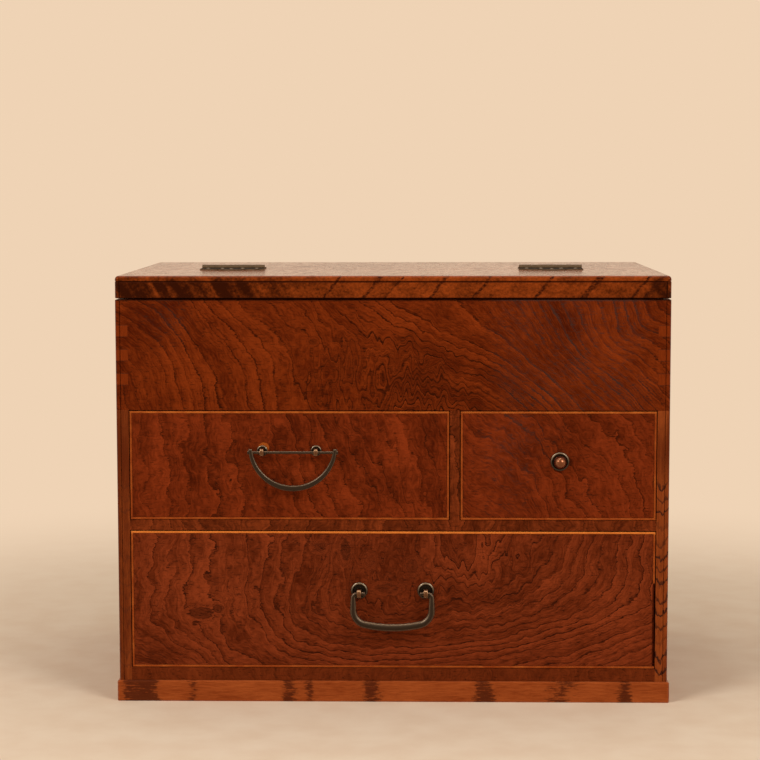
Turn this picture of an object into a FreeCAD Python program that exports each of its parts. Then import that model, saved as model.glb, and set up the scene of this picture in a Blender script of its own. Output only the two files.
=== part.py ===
import FreeCAD, Part
import math
import os
import re

# Small lidded chest of drawers in the tansu tradition, a sewing-box type.
# Millimetres, +Z up, the front faces -Y, the origin is under the middle of the whole outline.

# Driving sizes, in millimetres
SIZES = {
    # Carcass
    "carcass_width": 364,
    "carcass_depth": 224,
    "side_thickness": 8.2,
    "back_thickness": 7,
    "back_rabbet": 4,
    "housing_depth": 3,
    "housing_setback": 6,
    "corner_round": 1.6,
    "arris": 0.5,
    "bead_width": 2.8,
    "bead_groove_width": 0.6,
    "bead_groove_depth": 0.5,
    # Levels, from the floor up
    "plinth_height": 14,
    "bottom_rail_height": 8.6,
    "large_opening": 92.4,
    "shelf_rail_height": 7,
    "small_opening": 72.8,
    "upper_front_height": 72.8,
    # Plinth
    "plinth_thickness": 11,
    "plinth_proud": 1.4,
    "plinth_round": 1.4,
    # Rails, boards and the divider
    "rail_depth": 26,
    "bottom_board_thickness": 6,
    "shelf_board_thickness": 5,
    "divider_offset": 41.1,
    "divider_width": 6.4,
    "divider_housing": 2,
    # Upper compartment
    "upper_front_thickness": 9,
    "floor_thickness": 5,
    "floor_rabbet": 4,
    "finger_height": 7.9,
    "finger_pitch": 15.9,
    # Lid
    "lid_thickness": 15.6,
    "lid_seat_gap": 0.9,
    "flap_depth": 102.25,
    "flap_gap": 0.4,
    "lid_round": 2.4,
    "lid_bead_height": 3.3,
    # Hinges
    "hinge_end_margin": 70.9,
    "hinge_shift": -2.1,
    "hinge_width": 44,
    "leaf_depth": 15,
    "leaf_thickness": 0.8,
    "leaf_lobe_radius": 9.5,
    "leaf_side_lobe_radius": 5.2,
    "leaf_side_lobe_inset": 8,
    "barrel_radius": 1.4,
    "barrel_lift": 0.25,
    "knuckle_gap": 0.2,
    "hinge_pin_radius": 0.7,
    "hinge_pin_clearance": 0.05,
    "nail_head_radius": 1.3,
    "nail_head_height": 0.55,
    "nail_radius": 0.6,
    "nail_length": 8,
    "nail_end_margin": 5,
    "nail_inner_offset": 7,
    "nail_near_row": 8,
    "nail_far_row": 17,
    # Wooden pegs
    "peg_radius": 1.3,
    "peg_bite": 11,
    "peg_end_margin": 24,
    "drawer_peg_radius": 1.0,
    "drawer_peg_bite": 8,
    # Drawers
    "drawer_front_thickness": 10,
    "drawer_side_gap": 0.6,
    "drawer_top_gap": 0.6,
    "drawer_bottom_gap": 0.3,
    "drawer_rear_gap": 0.5,
    "drawer_wall": 6,
    "drawer_wall_drop": 1.2,
    "drawer_bottom_thickness": 4.5,
    "drawer_lap": 5,
    "edging_width": 1.4,
    "edging_depth": 3,
    "edging_proud": 0.3,
    "edging_round": 0.4,
    "broken_strip_length": 33,
    # Split posts that carry the handles
    "post_leg_length": 7,
    "post_leg_width": 2.2,
    "post_leg_thickness": 0.9,
    "pivot_clearance": 0.08,
    # Rod handle of the left small drawer
    "rod_pull_height": 45.6,
    "rod_post_spacing": 35.5,
    "rod_pull_shift": 2.6,
    "rod_pivot_reach": 5.6,
    "rod_radius": 0.9,
    "rod_rivet_radius": 1.3,
    "rod_rivet_length": 0.7,
    "rod_eye_radius": 2.6,
    "rod_eye_sag": 0.6,
    "rod_eye_width": 2.6,
    "rod_post_radius": 1.2,
    "rod_rosette_radius": 3.6,
    "rod_rosette_thickness": 1.0,
    "rod_rosette_rim": 0.6,
    "rod_bail_overhang": 11.25,
    "rod_bail_drop": 25.6,
    "rod_bail_limb": 2.8,
    "rod_bail_belly": 3.8,
    "rod_bail_thickness": 3.2,
    "rod_bail_rise": 2.4,
    "rod_bail_round": 1.2,
    # Bent handle of the large drawer
    "bent_pull_height": 51.3,
    "bent_post_spacing": 44,
    "bent_pivot_reach": 6.6,
    "bent_end_radius": 1.2,
    "bent_end_overhang": 3.8,
    "bent_eye_radius": 3,
    "bent_eye_sag": 1.1,
    "bent_eye_width": 2.8,
    "bent_post_radius": 1.3,
    "bent_rosette_radius": 5.6,
    "bent_rosette_thickness": 1.1,
    "bent_rosette_rim": 0.9,
    "bent_limb_offset": 3.9,
    "bent_limb_radius": 1.6,
    "bent_drop": 22.6,
    "bent_end_bend": 2.6,
    "bent_corner_bend": 10,
    "bent_bow_radius": 82,
    "bent_belly_half_height": 2.5,
    "bent_belly_half_depth": 2,
    "bent_collar_rim": 0.45,
    # Knob of the right small drawer
    "knob_height": 39.3,
    "knob_shift": 0.9,
    "knob_projection": 9.7,
    "knob_radius": 4.1,
    "knob_head_length": 8.8,
    "knob_neck_radius": 2.4,
    "knob_collar_radius": 3.2,
    "knob_collar_length": 0.9,
    "knob_shank_radius": 1.5,
    "knob_rosette_radius": 6.2,
    "knob_rosette_thickness": 1.2,
    "knob_rosette_rim": 0.8,
}

# Knuckles along a hinge, shared out between its two leaves
KNUCKLES = 5

# Places worked out from the sizes
PLACES = {
    "half_width": "carcass_width / 2",
    "inner_half": "half_width - side_thickness",
    "housing_half": "inner_half + housing_depth",
    "front": "-(carcass_depth - knob_projection) / 2",
    "back": "front + carcass_depth",
    "back_inner": "back - back_thickness",
    "rail_back": "front + rail_depth",
    "upper_inner": "front + upper_front_thickness",
    "bottom_top": "plinth_height + bottom_rail_height",
    "shelf_under": "bottom_top + large_opening",
    "shelf_top": "shelf_under + shelf_rail_height",
    "upper_under": "shelf_top + small_opening",
    "floor_top": "upper_under + floor_thickness",
    "carcass_top": "upper_under + upper_front_height",
    "upper_middle": "upper_under + upper_front_height / 2",
    "lid_top": "carcass_top + lid_thickness",
    "flap_under": "carcass_top + lid_seat_gap",
    "split": "front + flap_depth",
    "divider_left": "divider_offset - divider_width / 2",
    "divider_right": "divider_offset + divider_width / 2",
    "plinth_half": "half_width + plinth_proud",
    "plinth_inner_half": "plinth_half - plinth_thickness",
    "plinth_front": "front - plinth_proud",
    "plinth_inner_front": "plinth_front + plinth_thickness",
    "hinge_x": "half_width - hinge_end_margin",
    "hinge_half": "hinge_width / 2",
    "barrel_level": "lid_top + barrel_lift + barrel_radius",
    "knuckle_pitch": f"hinge_width / {KNUCKLES}",
    "drawer_rear": "back_inner - drawer_rear_gap",
    "drawer_front_inner": "front + drawer_front_thickness",
    "rod_pull_x": "(divider_left - inner_half) / 2",
    "rod_pull_z": "shelf_top + rod_pull_height",
    "rod_pivot_y": "front - rod_pivot_reach",
    "rod_bail_x": "rod_pull_x + rod_pull_shift",
    "rod_half": "rod_post_spacing / 2 + rod_bail_overhang",
    "bent_pull_z": "bottom_top + bent_pull_height",
    "bent_pivot_y": "front - bent_pivot_reach",
    "bent_limb_reach": "bent_post_spacing / 2 + bent_limb_offset",
    "bent_corner_run": "(bent_bow_radius - bent_corner_bend)^2 - (bent_limb_reach - bent_corner_bend)^2",
    "bent_corner_drop": "sqrt(bent_corner_run) - bent_bow_radius + bent_drop",
    "knob_x": "(divider_right + inner_half) / 2 + knob_shift",
    "knob_z": "shelf_top + knob_height",
}

# Sides of a block, as the axis and the end of its bounding box
SIDES = {
    "left": ("X", "Min"),
    "right": ("X", "Max"),
    "front": ("Y", "Min"),
    "back": ("Y", "Max"),
    "bottom": ("Z", "Min"),
    "top": ("Z", "Max"),
}
EDGE_TOLERANCE = 0.01

# Turns that lay a cylinder's own axis along X, Y or Z
LAID_ALONG = {
    "x": FreeCAD.Rotation(FreeCAD.Vector(0, 1, 0), 90),
    "y": FreeCAD.Rotation(FreeCAD.Vector(1, 0, 0), -90),
    "z": FreeCAD.Rotation(),
}
LEFT, RIGHT = -1, 1
BOTH_SIDES = (("left", LEFT), ("right", RIGHT))

doc = FreeCAD.newDocument("tansu")
sheet = doc.addObject("Spreadsheet::Sheet", "Dims")
for row, (alias, millimetres) in enumerate(SIZES.items(), start=1):
    sheet.set(f"A{row}", alias)
    sheet.set(f"B{row}", str(millimetres))
    sheet.setAlias(f"B{row}", alias)
doc.recompute()
finished = []


def bound(text):
    """An expression with every place written out and every size taken from the sheet."""

    def spelled(match):
        word = match.group(0)
        if word in PLACES:
            return f"({bound(PLACES[word])})"
        return f"Dims.{word}" if word in SIZES else word

    return re.sub(r"[a-z_]+", spelled, text)


def size(alias):
    """A size as the sheet holds it now."""
    return float(sheet.get(alias))


def put(piece, x, y, z):
    """Binds where a piece stands."""
    for axis, place in (("x", x), ("y", y), ("z", z)):
        piece.setExpression(f".Placement.Base.{axis}", bound(place))
    return piece


def keep(piece, label):
    """Gives a finished piece its name."""
    piece.Label = label
    finished.append(piece)
    return piece


def mirrored(sign, near, far):
    """The span from near to far on the right, or its mirror image on the left."""
    return (near, far) if sign == RIGHT else (f"-({far})", f"-({near})")


def block(name, x, y, z):
    """A rectangular block between pairs of places."""
    made = doc.addObject("Part::Box", name)
    for side, (low, high) in (("Length", x), ("Width", y), ("Height", z)):
        made.setExpression(side, bound(f"({high}) - ({low})"))
    return put(made, x[0], y[0], z[0])


def bar(name, along, radius, start, length):
    """A round bar along an axis, from its starting point."""
    made = doc.addObject("Part::Cylinder", name)
    made.Placement.Rotation = LAID_ALONG[along]
    made.setExpression("Radius", bound(radius))
    made.setExpression("Height", bound(length))
    return put(made, *start)


def ring(name, along, radius, tube, centre):
    """A torus about an axis."""
    made = doc.addObject("Part::Torus", name)
    made.Placement.Rotation = LAID_ALONG[along]
    made.setExpression("Radius1", bound(radius))
    made.setExpression("Radius2", bound(tube))
    return put(made, *centre)


def joined(name, *pieces):
    """Several solids as one."""
    made = doc.addObject("Part::MultiFuse", name)
    made.Shapes = list(pieces)
    made.Refine = True
    return made


def group(name, pieces):
    """Several like solids that share a name and stay separate."""
    made = doc.addObject("Part::Compound", name)
    made.Links = list(pieces)
    return made


def cut(name, base, *tools):
    """A piece with room made for each of the tools."""
    made = doc.addObject("Part::Cut", name)
    made.Base = base
    made.Tool = tools[0] if len(tools) == 1 else joined(f"{name}_room", *tools)
    return made


def overlap(name, base, tool):
    """What two solids share."""
    made = doc.addObject("Part::Common", name)
    made.Base = base
    made.Tool = tool
    return made


def lies_on(edge, shape, side):
    """Whether an edge lies in the plane of one side of a shape."""
    axis, end = SIDES[side]
    level = getattr(shape.BoundBox, axis + end)
    reach = (getattr(edge.BoundBox, axis + "Min"), getattr(edge.BoundBox, axis + "Max"))
    return all(abs(value - level) < EDGE_TOLERANCE for value in reach)


def rounded(name, base, radius, *edges, but=()):
    """A piece with the edges rounded that lie on all the sides of one of the given sets."""
    doc.recompute()
    chosen = []
    for number, edge in enumerate(base.Shape.Edges, start=1):
        wanted = any(all(lies_on(edge, base.Shape, side) for side in sides) for sides in edges)
        if wanted and not any(lies_on(edge, base.Shape, side) for side in but):
            chosen.append((number, size(radius), size(radius)))
    made = doc.addObject("Part::Fillet", name)
    made.Base = base
    made.Edges = chosen
    return made


# Bead grooves down the outer front edges of the carcass and the lid
def bead_groove(name, sign):
    far = "half_width - bead_width"
    return block(
        name,
        mirrored(sign, f"{far} - bead_groove_width", far),
        ("front - bead_groove_depth", "front + bead_groove_depth"),
        ("plinth_height", "lid_top - lid_bead_height"),
    )


bead_grooves = [bead_groove(f"bead_groove_{side}", sign) for side, sign in BOTH_SIDES]


# Upper front panel, with three finger slots at each end
def finger_slot(name, sign, step):
    middle = f"upper_middle + {step} * finger_pitch"
    return block(
        name,
        mirrored(sign, "inner_half", "half_width"),
        ("front", "upper_inner"),
        (f"{middle} - finger_height / 2", f"{middle} + finger_height / 2"),
    )


finger_slots = [
    finger_slot(f"finger_slot_{name}_{step + 1}", sign, step)
    for name, sign in BOTH_SIDES
    for step in (-1, 0, 1)
]
compartment_floor_blank = joined(
    "compartment_floor_blank",
    block(
        "compartment_floor_main",
        ("-housing_half", "housing_half"),
        ("upper_inner", "back_inner"),
        ("upper_under", "floor_top"),
    ),
    block(
        "compartment_floor_tongue",
        ("-inner_half", "inner_half"),
        ("upper_inner - floor_rabbet", "upper_inner"),
        ("upper_under", "floor_top"),
    ),
)
upper_front_blank = block(
    "upper_front_blank",
    ("-half_width", "half_width"),
    ("front", "upper_inner"),
    ("upper_under", "carcass_top"),
)
upper_front_tongues = cut("upper_front_tongues", upper_front_blank, *finger_slots)
upper_front_corners = rounded(
    "upper_front_corners", upper_front_blank, "corner_round", ("left", "front"), ("right", "front")
)
keep(
    cut(
        "upper_front",
        rounded("upper_front_soft", upper_front_corners, "arris", ("front", "top")),
        *finger_slots,
        *bead_grooves,
        compartment_floor_blank,
    ),
    "upper_front",
)


# Rails and boards, housed in the sides behind the front edge
def rail_blank(name, under, top, board_thickness):
    face = block(
        f"{name}_face", ("-inner_half", "inner_half"), ("front", "rail_back"), (under, top)
    )
    tongue = block(
        f"{name}_tongue",
        ("-housing_half", "housing_half"),
        ("front + housing_setback", "rail_back"),
        (f"{top} - {board_thickness}", top),
    )
    return joined(f"{name}_blank", face, tongue)


def board_blank(name, top, thickness):
    return block(
        f"{name}_blank",
        ("-housing_half", "housing_half"),
        ("rail_back", "back_inner"),
        (f"{top} - {thickness}", top),
    )


bottom_rail_blank = rail_blank(
    "bottom_rail", "plinth_height", "bottom_top", "bottom_board_thickness"
)
bottom_board_blank = board_blank("bottom_board", "bottom_top", "bottom_board_thickness")
shelf_rail_blank = rail_blank("shelf_rail", "shelf_under", "shelf_top", "shelf_board_thickness")
shelf_board_blank = board_blank("shelf_board", "shelf_top", "shelf_board_thickness")

# Divider between the small drawers: a front post and a panel behind it
divider_post = joined(
    "divider_post",
    block(
        "divider_post_face",
        ("divider_left", "divider_right"),
        ("front", "rail_back"),
        ("shelf_top", "upper_under"),
    ),
    block(
        "divider_post_tenon",
        ("divider_left", "divider_right"),
        ("front + housing_setback", "rail_back - housing_setback"),
        ("shelf_top - divider_housing", "shelf_top"),
    ),
)
keep(divider_post, "divider_post")
divider_panel = block(
    "divider_panel",
    ("divider_left", "divider_right"),
    ("rail_back", "back_inner"),
    ("shelf_top - divider_housing", "upper_under + divider_housing"),
)
keep(divider_panel, "divider_panel")

# Back panel, let into the sides
back_panel_blank = block(
    "back_panel_blank",
    ("-(inner_half + back_rabbet)", "inner_half + back_rabbet"),
    ("back_inner", "back"),
    ("plinth_height", "carcass_top"),
)


# Pegs through the sides into the ends of the rails and boards
def carcass_peg(name, sign, y, z):
    reach = "half_width - side_thickness - peg_bite"
    low, high = mirrored(sign, reach, "half_width")
    return bar(name, "x", "peg_radius", (low, y, z), f"({high}) - ({low})")


PEG_LEVELS = {
    "bottom": "bottom_top - bottom_board_thickness / 2",
    "shelf": "shelf_top - shelf_board_thickness / 2",
    "floor": "upper_under + floor_thickness / 2",
}
PEG_COLUMNS = {
    "front": "front + rail_depth / 2",
    "middle": "(rail_back + back_inner) / 2",
    "rear": "back_inner - peg_end_margin",
}
carcass_pegs = group(
    "carcass_pegs",
    [
        carcass_peg(f"peg_{side}_{level}_{column}", sign, PEG_COLUMNS[column], PEG_LEVELS[level])
        for side, sign in BOTH_SIDES
        for level in PEG_LEVELS
        for column in PEG_COLUMNS
    ],
)
keep(carcass_pegs, "carcass_pegs")

# Pegs through the back panel into the rabbets of the sides
BACK_PEG_LEVELS = {
    "low": "(bottom_top + shelf_under) / 2",
    "middle": "(shelf_top + upper_under) / 2",
    "high": "(floor_top + carcass_top) / 2",
}


def back_peg(name, sign, z):
    length = "back_thickness + peg_bite"
    x = f"{sign} * (inner_half + back_rabbet / 2)"
    return bar(name, "y", "peg_radius", (x, f"back - ({length})", z), length)


back_pegs = group(
    "back_pegs",
    [
        back_peg(f"back_peg_{side}_{level}", sign, z)
        for side, sign in BOTH_SIDES
        for level, z in BACK_PEG_LEVELS.items()
    ],
)
keep(back_pegs, "back_pegs")
keep(cut("back_panel", back_panel_blank, back_pegs), "back_panel")


# Pegs through the fixed rear strip of the lid into the tops of the sides
def lid_peg(name, sign, y):
    length = "lid_thickness + peg_bite"
    x = f"{sign} * (half_width - side_thickness / 2)"
    return bar(name, "z", "peg_radius", (x, y, f"lid_top - ({length})"), length)


lid_pegs = group(
    "lid_pegs",
    [
        lid_peg(f"lid_peg_{side}_{end}", sign, y)
        for side, sign in BOTH_SIDES
        for end, y in (("near", "split + peg_end_margin"), ("far", "back - peg_end_margin"))
    ],
)
keep(lid_pegs, "lid_pegs")

keep(cut("bottom_rail", bottom_rail_blank, carcass_pegs), "bottom_rail")
keep(cut("bottom_board", bottom_board_blank, carcass_pegs), "bottom_board")
keep(cut("shelf_rail", shelf_rail_blank, carcass_pegs, divider_post), "shelf_rail")
keep(cut("shelf_board", shelf_board_blank, carcass_pegs, divider_panel), "shelf_board")
keep(
    cut("compartment_floor", compartment_floor_blank, carcass_pegs, divider_panel),
    "compartment_floor",
)


# Side boards, with room for all that is let into them
def side_board(label, sign):
    outer = "right" if sign == RIGHT else "left"
    blank = block(
        f"{label}_blank",
        mirrored(sign, "inner_half", "half_width"),
        ("front", "back"),
        ("plinth_height", "carcass_top"),
    )
    corner = rounded(f"{label}_corner", blank, "corner_round", (outer, "front"))
    soft = rounded(f"{label}_soft", corner, "arris", (outer, "top"), (outer, "back"))
    board = cut(
        label,
        soft,
        upper_front_tongues,
        *bead_grooves,
        bottom_rail_blank,
        bottom_board_blank,
        shelf_rail_blank,
        shelf_board_blank,
        compartment_floor_blank,
        back_panel_blank,
        carcass_pegs,
        back_pegs,
        lid_pegs,
    )
    return keep(board, label)


for side, sign in BOTH_SIDES:
    side_board(f"{side}_side", sign)

# Plinth: front and side rails mitred at the front corners, and a rear rail between the sides
plinth_outline_corners = rounded(
    "plinth_outline_corners",
    block(
        "plinth_outline_blank",
        ("-plinth_half", "plinth_half"),
        ("plinth_front", "back"),
        ("0", "plinth_height"),
    ),
    "plinth_round",
    ("left", "front"),
    ("right", "front"),
    ("front", "top"),
    ("left", "top"),
    ("right", "top"),
)
plinth_outline = rounded(
    "plinth_outline", plinth_outline_corners, "arris", ("bottom",), but=("back",)
)
mitred_front = doc.addObject("Part::Wedge", "plinth_front_mitred")
for limit, place in (
    ("Xmin", "-plinth_half"),
    ("Xmax", "plinth_half"),
    ("X2min", "-plinth_inner_half"),
    ("X2max", "plinth_inner_half"),
    ("Ymin", "plinth_front"),
    ("Ymax", "plinth_inner_front"),
    ("Zmin", "0"),
    ("Z2min", "0"),
    ("Zmax", "plinth_height"),
    ("Z2max", "plinth_height"),
):
    mitred_front.setExpression(limit, bound(place))
keep(overlap("plinth_front", plinth_outline, mitred_front), "plinth_front")
for side, sign in BOTH_SIDES:
    label = f"plinth_{side}"
    length = block(
        f"{label}_blank",
        mirrored(sign, "plinth_inner_half", "plinth_half"),
        ("plinth_front", "back"),
        ("0", "plinth_height"),
    )
    mitred = cut(f"{label}_mitred", length, mitred_front)
    keep(overlap(label, plinth_outline, mitred), label)
keep(
    block(
        "plinth_back",
        ("-plinth_inner_half", "plinth_inner_half"),
        ("back - plinth_thickness", "back"),
        ("0", "plinth_height"),
    ),
    "plinth_back",
)


# Hinges: a scalloped leaf on the flap and one on the fixed strip, with knuckles about a pin
def hinge_nail(name, x, y):
    head = doc.addObject("Part::Ellipsoid", f"{name}_head")
    head.Angle1 = 0
    head.setExpression("Radius1", bound("nail_head_height"))
    head.setExpression("Radius2", bound("nail_head_radius"))
    head.setExpression("Radius3", bound("nail_head_radius"))
    top = "lid_top + leaf_thickness"
    put(head, x, y, top)
    shank = bar(f"{name}_shank", "z", "nail_radius", (x, y, f"{top} - nail_length"), "nail_length")
    return joined(name, head, shank)


def hinge_nails(name, centre, way):
    """Nails of one leaf; way is -1 towards the front and 1 towards the back."""
    places = [("0", "nail_far_row")]
    for offset in ("hinge_half - nail_end_margin", "nail_inner_offset"):
        places += [(f"{sign} * ({offset})", "nail_near_row") for sign in (LEFT, RIGHT)]
    return [
        hinge_nail(f"{name}_{number}", f"{centre} + {aside}", f"split + {way} * {along}")
        for number, (aside, along) in enumerate(places, start=1)
    ]


def hinge_leaf(name, centre, way, segments, bore, nails):
    """A leaf with the knuckles of the given segments, counted from the left end."""
    lobe_depth = f"split + {way} * leaf_depth"
    plate_near = f"split + {way} * (barrel_radius + knuckle_gap)"
    lap = f"split + {way} * (barrel_radius + 2 * knuckle_gap)"
    level = ("lid_top", "lid_top + leaf_thickness")

    def across(near, far):
        return (near, far) if way > 0 else (far, near)

    solids = [
        block(
            f"{name}_plate",
            (f"{centre} - hinge_half", f"{centre} + hinge_half"),
            across(plate_near, lobe_depth),
            level,
        ),
        bar(f"{name}_lobe", "z", "leaf_lobe_radius", (centre, lobe_depth, level[0]), "leaf_thickness"),
    ]
    for side, sign in BOTH_SIDES:
        lobe = (f"{centre} + {sign} * (hinge_half - leaf_side_lobe_inset)", lobe_depth, level[0])
        solids.append(
            bar(f"{name}_lobe_{side}", "z", "leaf_side_lobe_radius", lobe, "leaf_thickness")
        )
    for segment in segments:
        start = f"{centre} - hinge_half + {segment} * knuckle_pitch + knuckle_gap / 2"
        length = "knuckle_pitch - knuckle_gap"
        knuckle = (start, "split", "barrel_level")
        solids.append(bar(f"{name}_knuckle_{segment}", "x", "barrel_radius", knuckle, length))
        solids.append(
            block(
                f"{name}_web_{segment}",
                (start, f"{start} + {length}"),
                across("split", lap),
                ("lid_top + barrel_lift", level[1]),
            )
        )
    hole_start = (f"{centre} - hinge_half", "split", "barrel_level")
    hole = bar(f"{name}_bore", "x", bore, hole_start, "hinge_width")
    return cut(name, joined(f"{name}_solid", *solids), hole, *nails)


flap_nails, strip_nails = [], []
for side, sign in BOTH_SIDES:
    centre = f"{sign} * hinge_x + hinge_shift"
    near = hinge_nails(f"{side}_flap_nail", centre, -1)
    far = hinge_nails(f"{side}_strip_nail", centre, 1)
    flap_nails += near
    strip_nails += far
    loose_bore = "hinge_pin_radius + hinge_pin_clearance"
    odd, even = range(1, KNUCKLES, 2), range(0, KNUCKLES, 2)
    front_leaf = hinge_leaf(f"{side}_hinge_front_leaf", centre, -1, odd, loose_bore, near)
    rear_leaf = hinge_leaf(f"{side}_hinge_rear_leaf", centre, 1, even, "hinge_pin_radius", far)
    pin_start = (f"{centre} - hinge_half", "split", "barrel_level")
    pin = bar(f"{side}_hinge_pin", "x", "hinge_pin_radius", pin_start, "hinge_width")
    for piece in (front_leaf, rear_leaf, pin):
        keep(piece, piece.Name)
hinge_flap_nails = keep(group("hinge_flap_nails", flap_nails), "hinge_flap_nails")
hinge_strip_nails = keep(group("hinge_strip_nails", strip_nails), "hinge_strip_nails")

# Lid: a hinged front flap and a fixed rear strip, with one bead groove round both
bead_top = "lid_top - lid_bead_height"
bead_level = (f"{bead_top} - bead_groove_width", bead_top)
lid_bead_groove = cut(
    "lid_bead_groove",
    block("lid_bead_outer", ("-half_width", "half_width"), ("front", "back"), bead_level),
    block(
        "lid_bead_inner",
        ("-half_width + bead_groove_depth", "half_width - bead_groove_depth"),
        ("front + bead_groove_depth", "back - bead_groove_depth"),
        bead_level,
    ),
)


def lid_board(name, y, z, outer, inner):
    """A board of the lid, rounded on all but the side where the two boards meet."""
    blank = block(f"{name}_blank", ("-half_width", "half_width"), y, z)
    corners = rounded(
        f"{name}_corners",
        blank,
        "lid_round",
        ("left", outer),
        ("right", outer),
        (outer, "top"),
        ("left", "top"),
        ("right", "top"),
    )
    return rounded(f"{name}_soft", corners, "arris", ("bottom",), (inner, "top"))


lid_flap_soft = lid_board(
    "lid_flap", ("front", "split - flap_gap / 2"), ("flap_under", "lid_top"), "front", "back"
)
lid_strip_soft = lid_board(
    "lid_rear_strip", ("split + flap_gap / 2", "back"), ("carcass_top", "lid_top"), "back", "front"
)
keep(cut("lid_flap", lid_flap_soft, lid_bead_groove, *bead_grooves, hinge_flap_nails), "lid_flap")
keep(
    cut("lid_rear_strip", lid_strip_soft, lid_bead_groove, hinge_strip_nails, lid_pegs),
    "lid_rear_strip",
)


# Drawers: a rabbeted front, two sides, a back and a bottom, pegged together, with edging strips
def drawer_pegs(name, x_low, x_high, z_low, z_high):
    pegs = []
    for row, y in (
        ("front", "front + (drawer_lap + drawer_front_thickness) / 2"),
        ("back", "drawer_rear - drawer_wall / 2"),
    ):
        for level, share in (("low", 0.25), ("high", 0.75)):
            z = f"({z_low}) + {share} * (({z_high}) - ({z_low}))"
            length = "drawer_wall + drawer_peg_bite"
            for side, x in (("left", x_low), ("right", f"{x_high} - ({length})")):
                peg = f"{name}_peg_{row}_{level}_{side}"
                pegs.append(bar(peg, "x", "drawer_peg_radius", (x, y, z), length))
    return group(f"{name}_pegs", pegs)


def edging(name, x, z, right_strip_length):
    """Thin strips let in round the face of a drawer front, and the rebate that holds them."""
    depth = ("front - edging_proud", "front + edging_depth")
    inner_x = (f"{x[0]} + edging_width", f"{x[1]} - edging_width")
    inner_z = (f"{z[0]} + edging_width", f"{z[1]} - edging_width")
    right_z = (f"{inner_z[1]} - ({right_strip_length})", inner_z[1])
    strips = [
        block(f"{name}_strip_top", x, depth, (inner_z[1], z[1])),
        block(f"{name}_strip_bottom", x, depth, (z[0], inner_z[0])),
        block(f"{name}_strip_left", (x[0], inner_x[0]), depth, inner_z),
        block(f"{name}_strip_right", (inner_x[1], x[1]), depth, right_z),
    ]
    soft = [
        rounded(f"{strip.Name}_soft", strip, "edging_round", ("front",)) for strip in strips
    ]
    rebate = cut(
        f"{name}_rebate",
        block(f"{name}_rebate_outer", x, depth, z),
        block(f"{name}_rebate_inner", inner_x, depth, inner_z),
    )
    return group(f"{name}_edging", soft), rebate


def drawer(name, left, right, under, over, posts, right_strip_length=None):
    x = (f"{left} + drawer_side_gap", f"{right} - drawer_side_gap")
    z = (f"{under} + drawer_bottom_gap", f"{over} - drawer_top_gap")
    y_box = ("front + drawer_lap", "drawer_rear")
    z_wall = (f"{z[0]} + drawer_bottom_thickness", f"{z[1]} - drawer_wall_drop")
    whole_strip = f"({z[1]}) - ({z[0]}) - 2 * edging_width"
    strips, rebate = edging(name, x, z, right_strip_length or whole_strip)
    pegs = drawer_pegs(name, x[0], x[1], *z_wall)
    left_wall = block(f"{name}_left_wall", (x[0], f"{x[0]} + drawer_wall"), y_box, z_wall)
    right_wall = block(f"{name}_right_wall", (f"{x[1]} - drawer_wall", x[1]), y_box, z_wall)
    bottom = block(
        f"{name}_bottom", x, y_box, (z[0], f"{z[0]} + drawer_bottom_thickness")
    )
    back_blank = block(
        f"{name}_back_blank",
        (f"{x[0]} + drawer_wall", f"{x[1]} - drawer_wall"),
        ("drawer_rear - drawer_wall", "drawer_rear"),
        z_wall,
    )
    front_blank = block(f"{name}_front_blank", x, ("front", "drawer_front_inner"), z)
    front_panel = cut(f"{name}_front_panel", front_blank, rebate, left_wall, right_wall, bottom)
    front_soft = rounded(f"{name}_front_soft", front_panel, "edging_round", ("front",))
    keep(cut(f"{name}_front", front_soft, pegs, *posts), f"{name}_front")
    keep(strips, f"{name}_edging")
    keep(cut(f"{name}_left_side", left_wall, pegs), f"{name}_left_side")
    keep(cut(f"{name}_right_side", right_wall, pegs), f"{name}_right_side")
    keep(cut(f"{name}_back", back_blank, pegs), f"{name}_back")
    keep(bottom, f"{name}_bottom")
    keep(pegs, f"{name}_pegs")


# Handle fittings shared by the drawers
def rosette(name, kind, x, z, post):
    """A disc with a raised round rim, on the face of a drawer."""
    radius, thickness, rim = f"{kind}_rosette_radius", f"{kind}_rosette_thickness", f"{kind}_rosette_rim"
    face = f"front - {thickness}"
    disc = bar(f"{name}_disc", "y", f"{radius} - {rim} / 2", (x, face, z), thickness)
    edge = ring(f"{name}_edge", "y", f"{radius} - {rim}", rim, (x, face, z))
    behind = bar(f"{name}_behind", "y", f"2 * {radius}", (x, "front", z), f"2 * {rim}")
    return cut(name, joined(f"{name}_blank", disc, edge), behind, post)


def post_legs(name, x, z):
    """The two ends of a split post, bent apart behind the drawer front."""
    return block(
        f"{name}_legs",
        (f"{x} - post_leg_width / 2", f"{x} + post_leg_width / 2"),
        ("drawer_front_inner", "drawer_front_inner + post_leg_thickness"),
        (f"{z} - post_leg_length", f"{z} + post_leg_length"),
    )


def eye_post(name, kind, x, shank_z, bore):
    """A split post with an eye across it for a handle to turn in."""
    pivot = f"{kind}_pivot_y"
    eye_start = (f"{x} - {kind}_eye_width / 2", pivot, f"{kind}_pull_z")
    eye = rounded(
        f"{name}_eye_soft",
        bar(f"{name}_eye", "x", f"{kind}_eye_radius", eye_start, f"{kind}_eye_width"),
        "edging_round",
        ("left",),
        ("right",),
    )
    shank_length = f"drawer_front_inner + post_leg_thickness - {pivot}"
    shank = bar(f"{name}_shank", "y", f"{kind}_post_radius", (x, pivot, shank_z), shank_length)
    hole = bar(f"{name}_hole", "x", bore, eye_start, f"{kind}_eye_width")
    return cut(name, joined(f"{name}_blank", eye, shank, post_legs(name, x, shank_z)), hole)


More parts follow.
